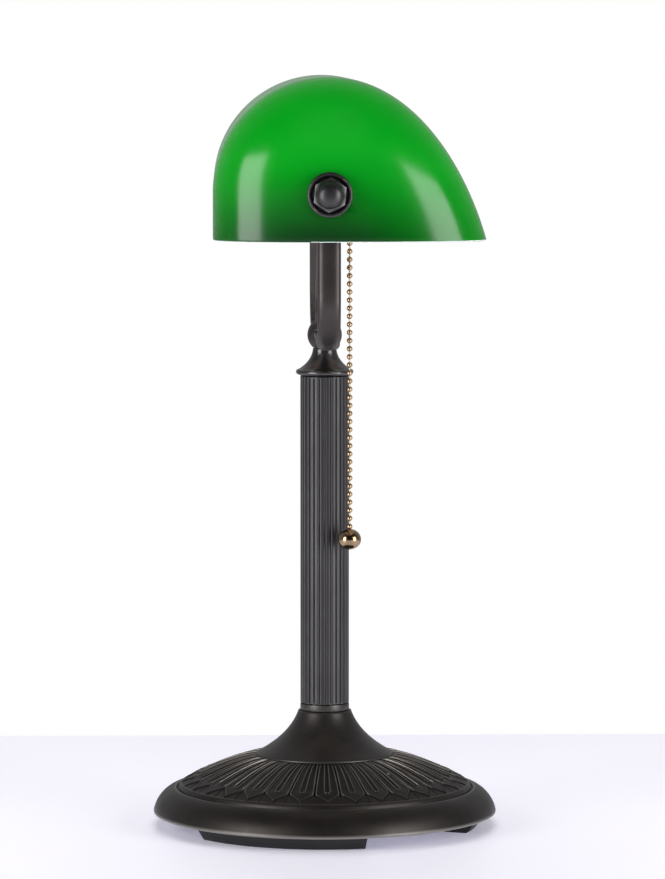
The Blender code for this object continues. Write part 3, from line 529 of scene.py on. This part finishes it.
# ---------------------------------------------------------------- cover plate, screws and cord bush
# A zinc-plated sheet steel disc closes the casting, stiffened by a pressed bead. Three pan-head
# screws hold it, and a snap-in rubber bush lines the hole that the cord goes through.
ZINC_STEEL = finish_of("zinc_steel", (0.55, 0.56, 0.58), (0.47, 0.48, 0.51), 0.38, 0.26, metallic=1.0,
                       clouds=90.0, tooth_size=1500.0, tooth_depth=0.00001,
                       wear_and_sheen=(0.72, 0.73, 0.74), painted_shade=(0.22, 0.22, 0.23), edge_and_hollow_amount=0.5)
SCREW_CIRCLE = 0.0800
SCREW_ANGLES = (85.0, 205.0, 325.0)
CORD_WAY = (0.0720, 104.0)            # radius and angle of the cord's way out
PLATE_MIDDLE = 0.0082


def on_circle(radius, degrees, z=0.0):
    """A place at this radius and angle about the column."""
    turn = math.radians(degrees)
    return (radius * math.cos(turn), radius * math.sin(turn), z)


def settle(piece, place=(0, 0, 0), turn=(0, 0, 0)):
    """Turn and move a finished shape to its place, and keep its origin at the lamp's."""
    pick(piece)
    piece.rotation_euler = turn
    piece.location = place
    bpy.ops.object.transform_apply()
    return piece


def drill(piece, radius, place, depth, turn=(0, 0, 0), sides=40):
    """Bore a hole through a piece, centred on a place."""
    start_fresh()
    bpy.ops.mesh.primitive_cylinder_add(vertices=sides, radius=radius, depth=depth, location=place,
                                        rotation=turn)
    cut(piece, bpy.context.object)


def mill(piece, middle, size, turn=0.0):
    """Cut a square-sided slot or pocket out of a piece."""
    start_fresh()
    bpy.ops.mesh.primitive_cube_add(size=1.0, location=middle, rotation=(0, 0, turn))
    bpy.context.object.scale = size
    cut(piece, bpy.context.object)


cover = turned([(0, 0.0088), (0.0540, 0.0088), (0.0560, 0.0092), (0.0600, 0.0092), (0.0620, 0.0088),
                (0.0858, 0.0088), (0.0860, 0.0086), (0.0860, 0.0078), (0.0858, 0.0076),
                (0.0620, 0.0076), (0.0600, 0.0080), (0.0560, 0.0080), (0.0540, 0.0076), (0, 0.0076)], 128)
drill(cover, 0.0050, on_circle(*CORD_WAY, PLATE_MIDDLE), 0.004)
for degrees in SCREW_ANGLES:
    drill(cover, 0.0017, on_circle(SCREW_CIRCLE, degrees, PLATE_MIDDLE), 0.004)
fit(cover, "base_cover", "stand", ZINC_STEEL, ["bottom_plate"])

for number, degrees in enumerate(SCREW_ANGLES, 1):
    screw = turned([(0, 0.0145), (0.0010, 0.0145), (0.0013, 0.0140), (0.0013, 0.0073), (0.0029, 0.0073),
                    (0.0030, 0.0070), (0.0028, 0.0064), (0.0022, 0.0059), (0.0012, 0.0058), (0, 0.0058)], 32)
    mill(screw, (0, 0, 0.0060), (0.0034, 0.0006, 0.0014))
    mill(screw, (0, 0, 0.0060), (0.0006, 0.0034, 0.0014))
    settle(screw, on_circle(SCREW_CIRCLE, degrees), (0, 0, math.radians(20 * number)))
    fit(screw, f"cover_screw_{number}", "stand", ZINC_STEEL, [f"plate_screw_{number}"])

cord_bush = turned([(0.0033, 0.0110), (0.0050, 0.0110), (0.0056, 0.0096), (0.0056, 0.0092),
                    (0.0047, 0.0091), (0.0047, 0.0073), (0.0069, 0.0073), (0.0070, 0.0070),
                    (0.0069, 0.0063), (0.0060, 0.0058), (0.0042, 0.0058), (0.0035, 0.0061),
                    (0.0033, 0.0066)], 48)
settle(cord_bush, on_circle(*CORD_WAY))
fit(cord_bush, "cord_bush", "stand", BLACK_RUBBER, ["cord_gland"])

# ---------------------------------------------------------------- column
# A spun trumpet, a plain ring, a fluted tube and a flared cap, all of bronze-finished steel,
# stacked on the hollow rod. The tube is drawn with 26 reeds that run out only at its cut ends.
SATIN_BRONZE = finish_of("satin_bronze", (0.062, 0.056, 0.053), (0.046, 0.041, 0.039), 0.44, 0.36,
                         metallic=0.9, clouds=35.0, tooth_size=1600.0, tooth_depth=0.000012,
                         wear_and_sheen=(0.15, 0.14, 0.135), painted_shade=(0.010, 0.009, 0.009), edge_and_hollow_amount=0.6)
POLISHED_BRONZE = finish_of("polished_bronze", (0.090, 0.085, 0.087), (0.068, 0.064, 0.066), 0.30, 0.24,
                            metallic=0.9, clouds=35.0, tooth_size=1600.0, tooth_depth=0.000008,
                            wear_and_sheen=(0.19, 0.18, 0.175), painted_shade=(0.012, 0.011, 0.011), edge_and_hollow_amount=0.6)
BRUSHED_BRONZE = finish_of("brushed_bronze", (0.062, 0.060, 0.062), (0.050, 0.048, 0.050), 0.44, 0.36,
                           metallic=0.9, clouds=30.0, tooth_size=700.0, tooth_depth=0.000012,
                           along=(1.6, 1.6, 0.1), wear_and_sheen=(0.17, 0.165, 0.165), painted_shade=(0.012, 0.011, 0.011),
                           edge_and_hollow_amount=0.8)
REEDS = 26
REED_DEPTH = 0.0006
REED_CROWN = 0.00014
REED_RUN_OUT = 0.0009
TUBE_RADIUS = 0.0127

bell = turned([(0.0054, 0.0590), (0.0054, 0.0608), (0.0132, 0.0608), (0.0136, 0.0609)]
              + curve_points((0.0138, 0.0608), (0.0167, 0.0523), (0.0239, 0.0447), (0.0353, 0.0385), 28)
              + [(0.0356, 0.0382), (0.0357, 0.0378), (0.0355, 0.0374)]
              + curve_points((0.0344, 0.0374), (0.0226, 0.0437), (0.0152, 0.0510), (0.0124, 0.0590), 16),
              144)
fit(bell, "spun_bell", "stand", SATIN_BRONZE, ["column_bell"], angle=50)

seat_ring = turned([(0.0054, 0.0680), (0.0098, 0.0680), (0.0100, 0.0678), (0.0100, 0.0646),
                    (0.0123, 0.0646), (0.0127, 0.0644), (0.0128, 0.0640), (0.0128, 0.0617),
                    (0.0127, 0.0613), (0.0123, 0.0612), (0.0054, 0.0612)], 128)
fit(seat_ring, "seat_ring", "stand", SATIN_BRONZE, ["column_ring"])

FOOT_END, TOP_END = 0.0651, 0.2362
heights = [FOOT_END, FOOT_END + 0.0003, FOOT_END + 0.0006, FOOT_END + 0.0009, 0.11, 0.15, 0.19,
           TOP_END - 0.0009, TOP_END - 0.0006, TOP_END - 0.0003, TOP_END]
reeded = turned([(0.0105, 0.0649), (0.0125, 0.0649)] + [(TUBE_RADIUS, z) for z in heights]
                + [(0.0125, 0.2364), (0.0105, 0.2364)], REEDS * 16)
for point in reeded.data.vertices:
    r = math.hypot(point.co.x, point.co.y)
    if r > 0.0120:
        share = (math.atan2(point.co.y, point.co.x) / (2 * math.pi) * REEDS) % 1.0
        side_on = abs(2 * share - 1)
        press = REED_DEPTH * side_on ** 7 + REED_CROWN * side_on ** 2
        press *= step(FOOT_END, FOOT_END + REED_RUN_OUT, point.co.z)
        press *= 1 - step(TOP_END - REED_RUN_OUT, TOP_END, point.co.z)
        point.co.x *= (r - press) / r
        point.co.y *= (r - press) / r
fit(reeded, "reeded_tube", "stand", BRUSHED_BRONZE, ["column_tube"], angle=50)

flared_cap = turned([(0.0054, 0.2509), (0.0059, 0.2509)]
                    + curve_points((0.00615, 0.2507), (0.00645, 0.2466), (0.00887, 0.2430),
                                   (0.0134, 0.2401), 20)
                    + arc_points((0.0136, 0.2386), 0.0014, 78.0, -78.0, 12)
                    + [(0.0126, 0.2367), (0.0100, 0.2367), (0.0100, 0.2332), (0.0098, 0.2330),
                       (0.0054, 0.2330)], 128)
fit(flared_cap, "flared_cap", "stand", POLISHED_BRONZE, ["column_cap"], angle=60)

# ---------------------------------------------------------------- hub and arms
# The hub is a turned bronze ball with a milled pocket on each side. A forged arm, crowned outside
# and flat inside, fits each pocket, bends up, and ends in a flat eye for the shade's pivot.
HUB_Z = 0.2579
PIVOT_Z = 0.3346
ARM_START = 0.0067                    # in the hub's pocket
ARM_X = 0.1130
ARM_BEND = 0.0260
BOLT_BORE = 0.0033
QUARTER = math.pi / 2

hub = turned([(0.0053, 0.2512)] + arc_points((0, HUB_Z), 0.0090, -48.1, 42.7, 24) + [(0.0053, 0.2640)], 96)
for side in (-1, 1):
    mill(hub, (side * 0.0092, 0, HUB_Z - 0.00035), (0.0056, 0.0124, 0.0055))
fit(hub, "ball_hub", "stand", SATIN_BRONZE, ["yoke_hub"])


def mirror_copy(piece):
    """A mirrored copy of a shape for the lamp's other end."""
    pick(piece)
    bpy.ops.object.duplicate()
    twin = bpy.context.object
    twin.scale.x = -1.0
    bpy.ops.object.transform_apply()
    bpy.ops.object.mode_set(mode="EDIT")
    face_outwards()
    return twin


outline = [(-0.0055, -0.0019), (0.0055, -0.0019), (0.0058, -0.0016)]
for i in range(33):
    turn = math.pi * i / 32
    outline.append((math.copysign(0.0058 * abs(math.cos(turn)) ** 0.72, math.cos(turn)),
                    -0.0009 + 0.0036 * math.sin(turn) ** 0.72))
outline.append((-0.0058, -0.0016))
start_fresh()
bpy.ops.mesh.primitive_circle_add(vertices=len(outline), radius=0.01)
arm = bpy.context.object
for point, (across, out) in zip(arm.data.vertices, outline):
    point.co = (ARM_START, across, HUB_Z - out)
bpy.ops.object.mode_set(mode="EDIT")
bpy.ops.mesh.select_all(action="SELECT")
extend((ARM_X - ARM_BEND - ARM_START, 0, 0), 8)
bpy.ops.mesh.spin(steps=24, angle=QUARTER, center=(ARM_X - ARM_BEND, 0, HUB_Z + ARM_BEND), axis=(0, 1, 0))
extend((0, 0, PIVOT_Z - HUB_Z - ARM_BEND), 12)
bpy.ops.mesh.select_all(action="SELECT")
bpy.ops.mesh.fill_holes(sides=0)
face_outwards()
start_fresh()
bpy.ops.mesh.primitive_cylinder_add(vertices=64, radius=0.0075, depth=0.0046, rotation=(0, QUARTER, 0),
                                    location=(ARM_X + 0.0004, 0, PIVOT_Z))
eye = bpy.context.object
round_edges(eye, 0.0006)
cut(arm, eye, "UNION")
drill(arm, BOLT_BORE, (ARM_X, 0, PIVOT_Z), 0.02, (0, QUARTER, 0))
for piece, side_name in ((mirror_copy(arm), "left"), (arm, "right")):
    fit(piece, f"forged_arm_{side_name}", "stand", SATIN_BRONZE, [f"yoke_arm_{side_name}"],
        angle=40)

# ---------------------------------------------------------------- pivots
# At each end a steel bolt runs out through the arm's eye, a white nylon spacer and a nylon bush in
# the glass. A turned bronze cup and a domed hexagon nut close it and pinch the shade.
WHITE_NYLON = finish_of("white_nylon", (0.80, 0.79, 0.74), (0.74, 0.73, 0.67), 0.52, 0.42, clouds=50.0,
                        tooth_size=1800.0, tooth_depth=0.000008, Subsurface_Weight=0.1)


def lay_along_x(piece, side=1, y=0.0, z=PIVOT_Z, turn=0.0):
    """Swing a piece made about Z so that it points along side * X."""
    settle(piece, (0, 0, 0), (0, side * QUARTER, 0))
    return settle(piece, (0, y, z), (turn, 0, 0))


NUT_HALF = 0.00765                    # half its width across the flats

for side_name, side in (("left", -1), ("right", 1)):
    bolt = turned([(0, 0.1345), (0.0026, 0.1345), (0.0030, 0.1340), (0.0030, 0.1108), (0.0051, 0.1108),
                   (0.0052, 0.1106), (0.0052, 0.1085), (0.0048, 0.1078), (0.0040, 0.1074), (0, 0.1074)], 48)
    drill(bolt, 0.0023, (0, 0, 0.1074), 0.0036, sides=6)
    lay_along_x(bolt, side)
    fit(bolt, f"shade_bolt_{side_name}", "stand", ZINC_STEEL, [f"pivot_bolt_{side_name}"])

    spacer = turned([(BOLT_BORE, 0.1200), (0.0072, 0.1200), (0.0075, 0.1197), (0.0075, 0.1163),
                     (0.0072, 0.1160), (BOLT_BORE, 0.1160)], 64)
    lay_along_x(spacer, side)
    fit(spacer, f"nylon_spacer_{side_name}", "stand", WHITE_NYLON,
        [f"pivot_spacer_{side_name}"])

    bush = turned([(BOLT_BORE, 0.1246), (0.0049, 0.1246), (0.0051, 0.1244), (0.0051, 0.1215),
                   (0.0083, 0.1215), (0.0085, 0.1213), (0.0085, 0.1205), (0.0083, 0.1203),
                   (BOLT_BORE, 0.1203)], 64)
    lay_along_x(bush, side)
    fit(bush, f"nylon_bush_{side_name}", "shade", WHITE_NYLON, [f"glass_bush_{side_name}"])

    cup = turned([(BOLT_BORE, 0.1261), (0.0087, 0.1261), (0.0091, 0.1264)]
                 + arc_points((0.0102, 0.12785), 0.00105, 190.0, -50.0, 18)
                 + [(0.0100, 0.1257), (0.0092, 0.1251), (BOLT_BORE, 0.1251)], 96)
    lay_along_x(cup, side)
    fit(cup, f"cup_{side_name}", "shade", BRUSHED_BRONZE, [f"cup_washer_{side_name}"])

    start_fresh()
    bpy.ops.mesh.primitive_cylinder_add(vertices=6, radius=NUT_HALF / math.cos(math.pi / 6), depth=0.0048,
                                        location=(0, 0, 0.1288))
    nut = bpy.context.object
    bpy.ops.object.transform_apply()
    round_edges(nut, 0.00025)
    chamfer = turned([(0, 0.1313), (0.0072, 0.1313), (0.0090, 0.1303), (0.0090, 0.1262), (0, 0.1262)], 64)
    cut(nut, chamfer, "INTERSECT")
    dome = turned([(0, 0.13775)] + curve_points((0.0010, 0.13775), (0.0042, 0.13755), (0.0067, 0.1360),
                                               (0.0068, 0.1322), 16)
                  + [(0.0066, 0.1316), (0.0066, 0.1300), (0, 0.1300)], 64)
    cut(nut, dome, "UNION")
    drill(nut, BOLT_BORE, (0, 0, 0.1300), 0.0100)
    lay_along_x(nut, side, turn=math.radians(35.0))
    fit(nut, f"domed_nut_{side_name}", "stand", BRUSHED_BRONZE, [f"cap_nut_{side_name}"])

# ---------------------------------------------------------------- shade
# Cased glass, slumped and ground at the rim: a bright green outer skin over opal white. The back
# is half round, the front flares, and each end is domed and bored for its pivot.
SHADE_RADIUS = 0.0579
SKIRT = 0.0236
CROWN_SWEEP = 112.0                   # how far round the half-round back runs before the flare
GLASS_THICKNESS = 0.0030
END_START = 0.0900                    # the domed ends start here and are cut flat at END_FLAT
END_REACH = 0.0350
END_FLAT = 0.1248
END_SWEEP = 83.0
END_CURVE = 2 / 2.3
GREEN_CASE = finish_of("green_case", (0.0008, 0.29, 0.009), (0.0011, 0.26, 0.010), 0.21, 0.17, clouds=14.0,
                       tooth_size=260.0, tooth_depth=0.0000005, Coat_Weight=0.12, Coat_Roughness=0.13)

# The green is darkened towards the rim, and most of all below each pivot, as painted shade. It
# is measured by distance from a line under the pivots, less along Y than along Z.
tree = GREEN_CASE.node_tree
shader = tree.nodes["Principled BSDF"]
shader.inputs["Specular IOR Level"].default_value = 0.34
unshaded_green = shader.inputs["Base Color"].links[0].from_socket
where = tree.nodes.new("ShaderNodeTexCoord")
flatten = tree.nodes.new("ShaderNodeVectorMath")
flatten.operation = "MULTIPLY"
flatten.inputs[1].default_value = (0, 0.55, 1)
away = tree.nodes.new("ShaderNodeVectorMath")
away.operation = "DISTANCE"
away.inputs[1].default_value = (0, 0.002, PIVOT_Z - 0.040)
spread = tree.nodes.new("ShaderNodeMapRange")
spread.interpolation_type = "SMOOTHSTEP"
spread.inputs["From Min"].default_value = 0.014
spread.inputs["From Max"].default_value = 0.066
# A is the dark green of the painted shade, B the glass's own mottled green.
painted_shade_below_pivots = mix_colours(tree)
painted_shade_below_pivots.inputs["A"].default_value = (0.0002, 0.024, 0.002, 1)
tree.links.new(where.outputs["Object"], flatten.inputs[0])
tree.links.new(flatten.outputs["Vector"], away.inputs[0])
tree.links.new(away.outputs["Value"], spread.inputs["Value"])
tree.links.new(spread.outputs["Result"], painted_shade_below_pivots.inputs["Factor"])
tree.links.new(unshaded_green, painted_shade_below_pivots.inputs["B"])
tree.links.new(painted_shade_below_pivots.outputs["Result"], shader.inputs["Base Color"])
OPAL_LINING = finish_of("opal_lining", (0.86, 0.87, 0.83), (0.82, 0.84, 0.80), 0.22, 0.14, clouds=20.0,
                        tooth_size=400.0, tooth_depth=0.000008, Subsurface_Weight=0.25, Coat_Weight=0.4)


def shade_across():
    """The shade's section over the pivots: (y, z) from the back rim round to the front rim."""
    back = [(SHADE_RADIUS, -SKIRT * (1 - i / 8)) for i in range(8)]
    crown = arc_points((0, 0), SHADE_RADIUS, 0.0, CROWN_SWEEP, 48)
    turn = math.radians(CROWN_SWEEP)
    last = Vector(crown[-1])
    rim = Vector((-0.0793, -SKIRT))
    first_pull = last + 0.0330 * Vector((-math.sin(turn), math.cos(turn)))
    front = curve_points(last, first_pull, rim + 0.0300 * Vector((0.27, 0.963)), rim, 32)
    return back + crown + front[1:]


across = shade_across()
along = [(END_START * i / 6, 1.0) for i in range(6)]
for i in range(31):
    turn = math.radians(END_SWEEP * i / 30)
    reach = math.sin(turn) ** END_CURVE
    along.append((min(END_START + END_REACH * reach, END_FLAT), math.cos(turn) ** END_CURVE))
along = [(-x, scale) for x, scale in reversed(along[1:])] + along
shoulders = [p for p in across if p[1] >= 0]
start_fresh()
bpy.ops.mesh.primitive_grid_add(x_subdivisions=len(along) - 1, y_subdivisions=len(across) - 1, size=2.0)
glass = bpy.context.object
for point in glass.data.vertices:
    x, scale = along[round((point.co.x + 1) / 2 * (len(along) - 1))]
    y, z = across[round((point.co.y + 1) / 2 * (len(across) - 1))]
    if z >= 0:
        point.co = (x, scale * y, PIVOT_Z + scale * z)
    else:
        shoulder = shoulders[0][0] if y > 0 else shoulders[-1][0]
        point.co = (x, scale * shoulder + y - shoulder, PIVOT_Z + z)
bpy.ops.object.mode_set(mode="EDIT")
for end in (-1, 1):
    points = bmesh.from_edit_mesh(glass.data)
    for point in points.verts:
        point.select_set(end * point.co.x > END_FLAT - 0.00015)
    points.select_flush_mode()
    bmesh.update_edit_mesh(glass.data)
    bpy.ops.mesh.edge_face_add()
face_outwards()
if sum(face.normal.z * face.area for face in glass.data.polygons) < 0:
    glass.data.flip_normals()
glass.data.materials.append(GREEN_CASE)
glass.data.materials.append(OPAL_LINING)
add_modifier(glass, "SOLIDIFY", thickness=GLASS_THICKNESS, offset=-1.0, use_even_offset=True,
             material_offset=1, material_offset_rim=1)
for side in (-1, 1):
    drill(glass, 0.0055, (side * 0.1240, 0, PIVOT_Z), 0.010, (0, QUARTER, 0), sides=64)
round_edges(glass, 0.0007, 3)
fit(glass, "cased_glass", "shade", GREEN_CASE, ["shade_glass"], angle=40)

# ---------------------------------------------------------------- socket
# A bronze tube rises from the hub and bends round into the socket's cap. The cap and shell are
# spun brass with a fibre liner, a rolled screw shell inside it, and a spout for the chain.
SPUN_BRASS = finish_of("spun_brass", (0.72, 0.55, 0.26), (0.63, 0.46, 0.20), 0.34, 0.22, metallic=1.0,
                       clouds=70.0, tooth_size=1100.0, tooth_depth=0.00001, along=(6, 1, 1),
                       wear_and_sheen=(0.86, 0.72, 0.42), painted_shade=(0.20, 0.13, 0.06), edge_and_hollow_amount=0.5)
FIBRE = finish_of("fibre", (0.60, 0.48, 0.31), (0.50, 0.38, 0.23), 0.85, 0.72, clouds=160.0,
                  tooth_size=1400.0, tooth_depth=0.00004)

CHAIN_AT = (-0.0200, -0.0125)         # where the chain runs, in X and Y
THREAD_STEP = 0.00058
TUBE_FOOT, BEND_FOOT, TUBE_END = 0.2590, 0.2700, -0.0388
FIRST_BEND, LAST_BEND, LEAN = 0.0120, 0.0140, math.radians(60.0)
RISE = PIVOT_Z - BEND_FOOT - FIRST_BEND * math.sin(LEAN) - LAST_BEND * (1 + math.sin(LEAN))
foot = Vector((-FIRST_BEND * (1 - math.cos(LEAN)), 0, BEND_FOOT + FIRST_BEND * math.sin(LEAN)))
run = Vector((-math.sin(LEAN), 0, math.cos(LEAN))) * (RISE / math.cos(LEAN))
turning = foot + run + LAST_BEND * Vector((math.cos(LEAN), 0, math.sin(LEAN)))
start_fresh()
bpy.ops.mesh.primitive_circle_add(vertices=40, radius=0.0050, location=(0, 0, TUBE_FOOT))
tube = bpy.context.object
bpy.ops.object.transform_apply()
bpy.ops.object.mode_set(mode="EDIT")
bpy.ops.mesh.select_all(action="SELECT")
extend((0, 0, BEND_FOOT - TUBE_FOOT))
bpy.ops.mesh.spin(steps=16, angle=LEAN, center=(-FIRST_BEND, 0, BEND_FOOT), axis=(0, 1, 0))
extend(run)
bpy.ops.mesh.spin(steps=32, angle=QUARTER + LEAN, center=turning, axis=(0, -1, 0))
extend((TUBE_END - turning.x, 0, 0))
face_outwards()
add_modifier(tube, "SOLIDIFY", thickness=0.0015, offset=-1.0, use_even_offset=True)
fit(tube, "socket_tube", "stand", SATIN_BRONZE, ["socket_arm"])

cap = turned([(0.0170, -0.0244), (0.0170, -0.0286), (0.0148, -0.0333), (0.0085, -0.0376),
              (0.0054, -0.0384), (0.0054, -0.0440), (0.0083, -0.0440), (0.0085, -0.0438),
              (0.0085, -0.0395), (0.0088, -0.0387)]
             + curve_points((0.0098, -0.0381), (0.0140, -0.0362), (0.0172, -0.0330), (0.0176, -0.0290), 12)
             + [(0.0178, -0.0286), (0.0178, -0.0246), (0.0177, -0.0244)], 96)
lay_along_x(cap)
fit(cap, "spun_socket_cap", "stand", SPUN_BRASS, ["socket_cap"])

shell = turned([(0.0166, -0.0240), (0.0172, -0.0240), (0.0173, -0.0238), (0.0173, -0.0206),
                (0.0171, -0.0203), (0.0171, -0.0199), (0.0173, -0.0196), (0.0173, 0.0196),
                (0.0171, 0.0200), (0.0171, 0.0206), (0.0173, 0.0210), (0.0173, 0.0256),
                (0.0172, 0.0260), (0.0168, 0.0260), (0.0166, 0.0257)], 96)
lay_along_x(shell)
drill(shell, 0.0036, (*CHAIN_AT, 0.3205), 0.017)
fit(shell, "spun_socket_shell", "stand", SPUN_BRASS, ["socket_shell"])

liner = turned([(0.0155, 0.0255), (0.0162, 0.0255), (0.0162, -0.0005), (0.0155, -0.0005)], 96)
lay_along_x(liner)
fit(liner, "fibre_sleeve", "stand", FIBRE, ["socket_liner"])


def rolled_thread(radius, depth, start, count):
    """The wavy profile of a rolled thread, six points to a turn."""
    return [(radius + depth * math.cos(i * math.pi / 3), start + THREAD_STEP * i) for i in range(count)]


thread = rolled_thread(0.01375, 0.00020, 0.0020, 37)
screw_shell = turned([(0.0110, 0.0007), (0.0110, 0.0002), (0.0140, 0.0002)] + thread
                     + [(0.0140, 0.0245), (0.0136, 0.0245)] + [(r - 0.0004, z) for r, z in reversed(thread)]
                     + [(0.0135, 0.0007)], 64)
lay_along_x(screw_shell)
fit(screw_shell, "rolled_screw_shell", "stand", SPUN_BRASS, ["screw_shell"])

spout = turned([(0.0021, 0.3225), (0.0031, 0.3225), (0.0032, 0.3223), (0.0032, 0.3160),
                (0.0034, 0.3150), (0.0038, 0.3137), (0.0038, 0.3133), (0.0036, 0.3130),
                (0.0030, 0.3130), (0.0025, 0.3133), (0.0021, 0.3142)], 64)
settle(spout, (*CHAIN_AT, 0))
fit(spout, "chain_mouth", "stand", SPUN_BRASS, ["chain_spout"])

# ---------------------------------------------------------------- bulb
# A small frosted glass bulb: a blown envelope on its pressed stem, and an aluminium screw cap
# with a rolled thread, closed by a black glass insulator and a soldered tip.
FROSTED_GLASS = finish_of("frosted_glass", (0.90, 0.90, 0.87), (0.86, 0.86, 0.83), 0.42, 0.34, clouds=40.0,
                          tooth_size=1500.0, tooth_depth=0.00001, Transmission_Weight=0.3)
ALUMINIUM = finish_of("aluminium", (0.75, 0.75, 0.76), (0.66, 0.66, 0.68), 0.36, 0.24, metallic=1.0,
                      clouds=90.0, tooth_size=1600.0, tooth_depth=0.00001)
BLACK_GLASS = finish_of("black_glass", (0.030, 0.018, 0.014), (0.018, 0.012, 0.010), 0.24, 0.14,
                        clouds=150.0, tooth_size=900.0, tooth_depth=0.00001)

BULB_TOP = 0.0905
WIDEST = 0.0240
MIDDLE = BULB_TOP - WIDEST
outer_ball = arc_points((0, MIDDLE), WIDEST, 88.0, -25.0, 32)
outer_neck = curve_points(outer_ball[-1], (0.0180, 0.0478), (0.0141, 0.0387), (0.0123, 0.0300), 12)[1:]
inner_ball = arc_points((0, MIDDLE), WIDEST - 0.0008, -25.0, 88.0, 32)
inner_neck = curve_points((0.0115, 0.0300), (0.0133, 0.0387), (0.0172, 0.0480), inner_ball[0], 12)[:-1]
envelope = turned([(0, BULB_TOP)] + outer_ball + outer_neck + [(0.0123, 0.0235), (0.0115, 0.0235)]
                  + inner_neck + inner_ball + [(0, 0.0897)], 64)
lay_along_x(envelope)
fit(envelope, "blown_envelope", "stand", FROSTED_GLASS, ["bulb_envelope"])

stem = turned([(0, 0.0560), (0.0018, 0.0556), (0.0028, 0.0546), (0.0030, 0.0520), (0.0034, 0.0420),
               (0.0048, 0.0350), (0.0080, 0.0280), (0.0100, 0.0250), (0.0100, 0.0235), (0, 0.0235)], 48)
lay_along_x(stem)
fit(stem, "pressed_stem", "stand", FROSTED_GLASS, ["bulb_stem"])

thread = rolled_thread(0.01280, 0.00022, 0.0090, 28)
screw_cap = turned([(0.0112, 0.0052), (0.0118, 0.0052), (0.0129, 0.0070)] + thread
                   + [(0.0130, 0.0262), (0.0130, 0.0270), (0.0126, 0.0270)]
                   + [(r - 0.0004, z) for r, z in reversed(thread)] + [(0.0125, 0.0074)], 64)
lay_along_x(screw_cap)
fit(screw_cap, "rolled_cap", "stand", ALUMINIUM, ["bulb_cap"])

insulator = turned([(0, 0.0066), (0.0108, 0.0066), (0.0107, 0.0052), (0.0102, 0.0045), (0.0080, 0.0040),
                    (0.0062, 0.0038), (0, 0.0038)], 48)
lay_along_x(insulator)
fit(insulator, "glass_insulator", "stand", BLACK_GLASS, ["bulb_insulator"])

tip = turned([(0, 0.0035), (0.0045, 0.0035), (0.0046, 0.0034), (0.0040, 0.0031), (0, 0.0031)], 48)
lay_along_x(tip)
fit(tip, "soldered_tip", "stand", SPUN_BRASS, ["bulb_tip"])

# ---------------------------------------------------------------- pull chain
# Antique brass beads on short wire links, swaged at a 4.2 mm pitch. The upper beads run in the
# spout, the rest hang free and end in a turned ball.
AGED_BRASS = finish_of("aged_brass", (0.40, 0.285, 0.18), (0.27, 0.185, 0.11), 0.19, 0.12, metallic=1.0,
                       clouds=220.0, tooth_size=1800.0, tooth_depth=0.000006,
                       wear_and_sheen=(0.62, 0.50, 0.34), painted_shade=(0.06, 0.040, 0.022), edge_and_hollow_amount=0.4)
PITCH = 0.0042
LOWEST_BEAD = 0.1594
HANGING_BEADS = 37
BALL_Z, BALL_RADIUS, BALL_HALF_HEIGHT = 0.1527, 0.0060, 0.0054


def bead_chain(lowest, count):
    """Round beads, each with the wire link that runs up from it."""
    start_fresh()
    bpy.ops.mesh.primitive_uv_sphere_add(segments=20, ring_count=12, radius=0.0015,
                                         location=(*CHAIN_AT, lowest))
    chain = bpy.context.object
    bpy.ops.mesh.primitive_cylinder_add(vertices=8, radius=0.0004, depth=0.0024,
                                        location=(*CHAIN_AT, lowest + PITCH / 2))
    bpy.context.object.select_set(True)
    chain.select_set(True)
    bpy.context.view_layer.objects.active = chain
    bpy.ops.object.join()
    bpy.ops.object.transform_apply()
    add_modifier(chain, "ARRAY", count=count, use_relative_offset=False, use_constant_offset=True,
                 constant_offset_displace=(0, 0, PITCH))
    return chain


hanging = bead_chain(LOWEST_BEAD, HANGING_BEADS)
fit(hanging, "hanging_beads", "chain_drop", AGED_BRASS, ["pull_chain"], angle=50)
upper = bead_chain(LOWEST_BEAD + HANGING_BEADS * PITCH, 4)
fit(upper, "upper_beads", "chain_slider", AGED_BRASS, ["chain_top"], angle=50)

turns = [math.radians(degrees) for degrees in range(85, -86, -5)]
sides = [(BALL_RADIUS * math.cos(turn), BALL_Z + BALL_HALF_HEIGHT * math.sin(turn)) for turn in turns]
ball = turned([(0, 0.1581)] + sides + [(0, 0.1473)], 64)
settle(ball, (*CHAIN_AT, 0))
fit(ball, "turned_ball", "chain_drop", AGED_BRASS, ["pull_ball"])

# ---------------------------------------------------------------- inner parts
# What the base, the column and the socket hide keeps the frame's own shapes: iron ballast, the
# steel rod and its nut, the terminal block, the lead, and the switch with its contact.
CAST_IRON = finish_of("cast_iron", (0.10, 0.098, 0.095), (0.15, 0.10, 0.075), 0.80, 0.60, metallic=0.6,
                      clouds=60.0, tooth_size=700.0, tooth_depth=0.00008)
PHENOLIC = finish_of("phenolic", (0.060, 0.030, 0.020), (0.045, 0.022, 0.014), 0.40, 0.28, clouds=90.0,
                     tooth_size=1200.0, tooth_depth=0.00001)
LEAD_SHEATH = finish_of("lead_sheath", (0.020, 0.020, 0.021), (0.030, 0.030, 0.031), 0.60, 0.48,
                        clouds=200.0, tooth_size=2200.0, tooth_depth=0.00001)
INNER = {CAST_IRON: ("base_weight",), WHITE_NYLON: ("terminal_block", "switch_drum"),
         ZINC_STEEL: ("rod_washer", "rod_nut", "threaded_rod", "drum_axle", "return_spring"),
         SPUN_BRASS: ("centre_contact",), PHENOLIC: ("switch_body",), LEAD_SHEATH: ("wiring_lead",)}
for material, nodes in INNER.items():
    for node in nodes:
        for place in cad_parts[node].material_slots:
            place.material = material
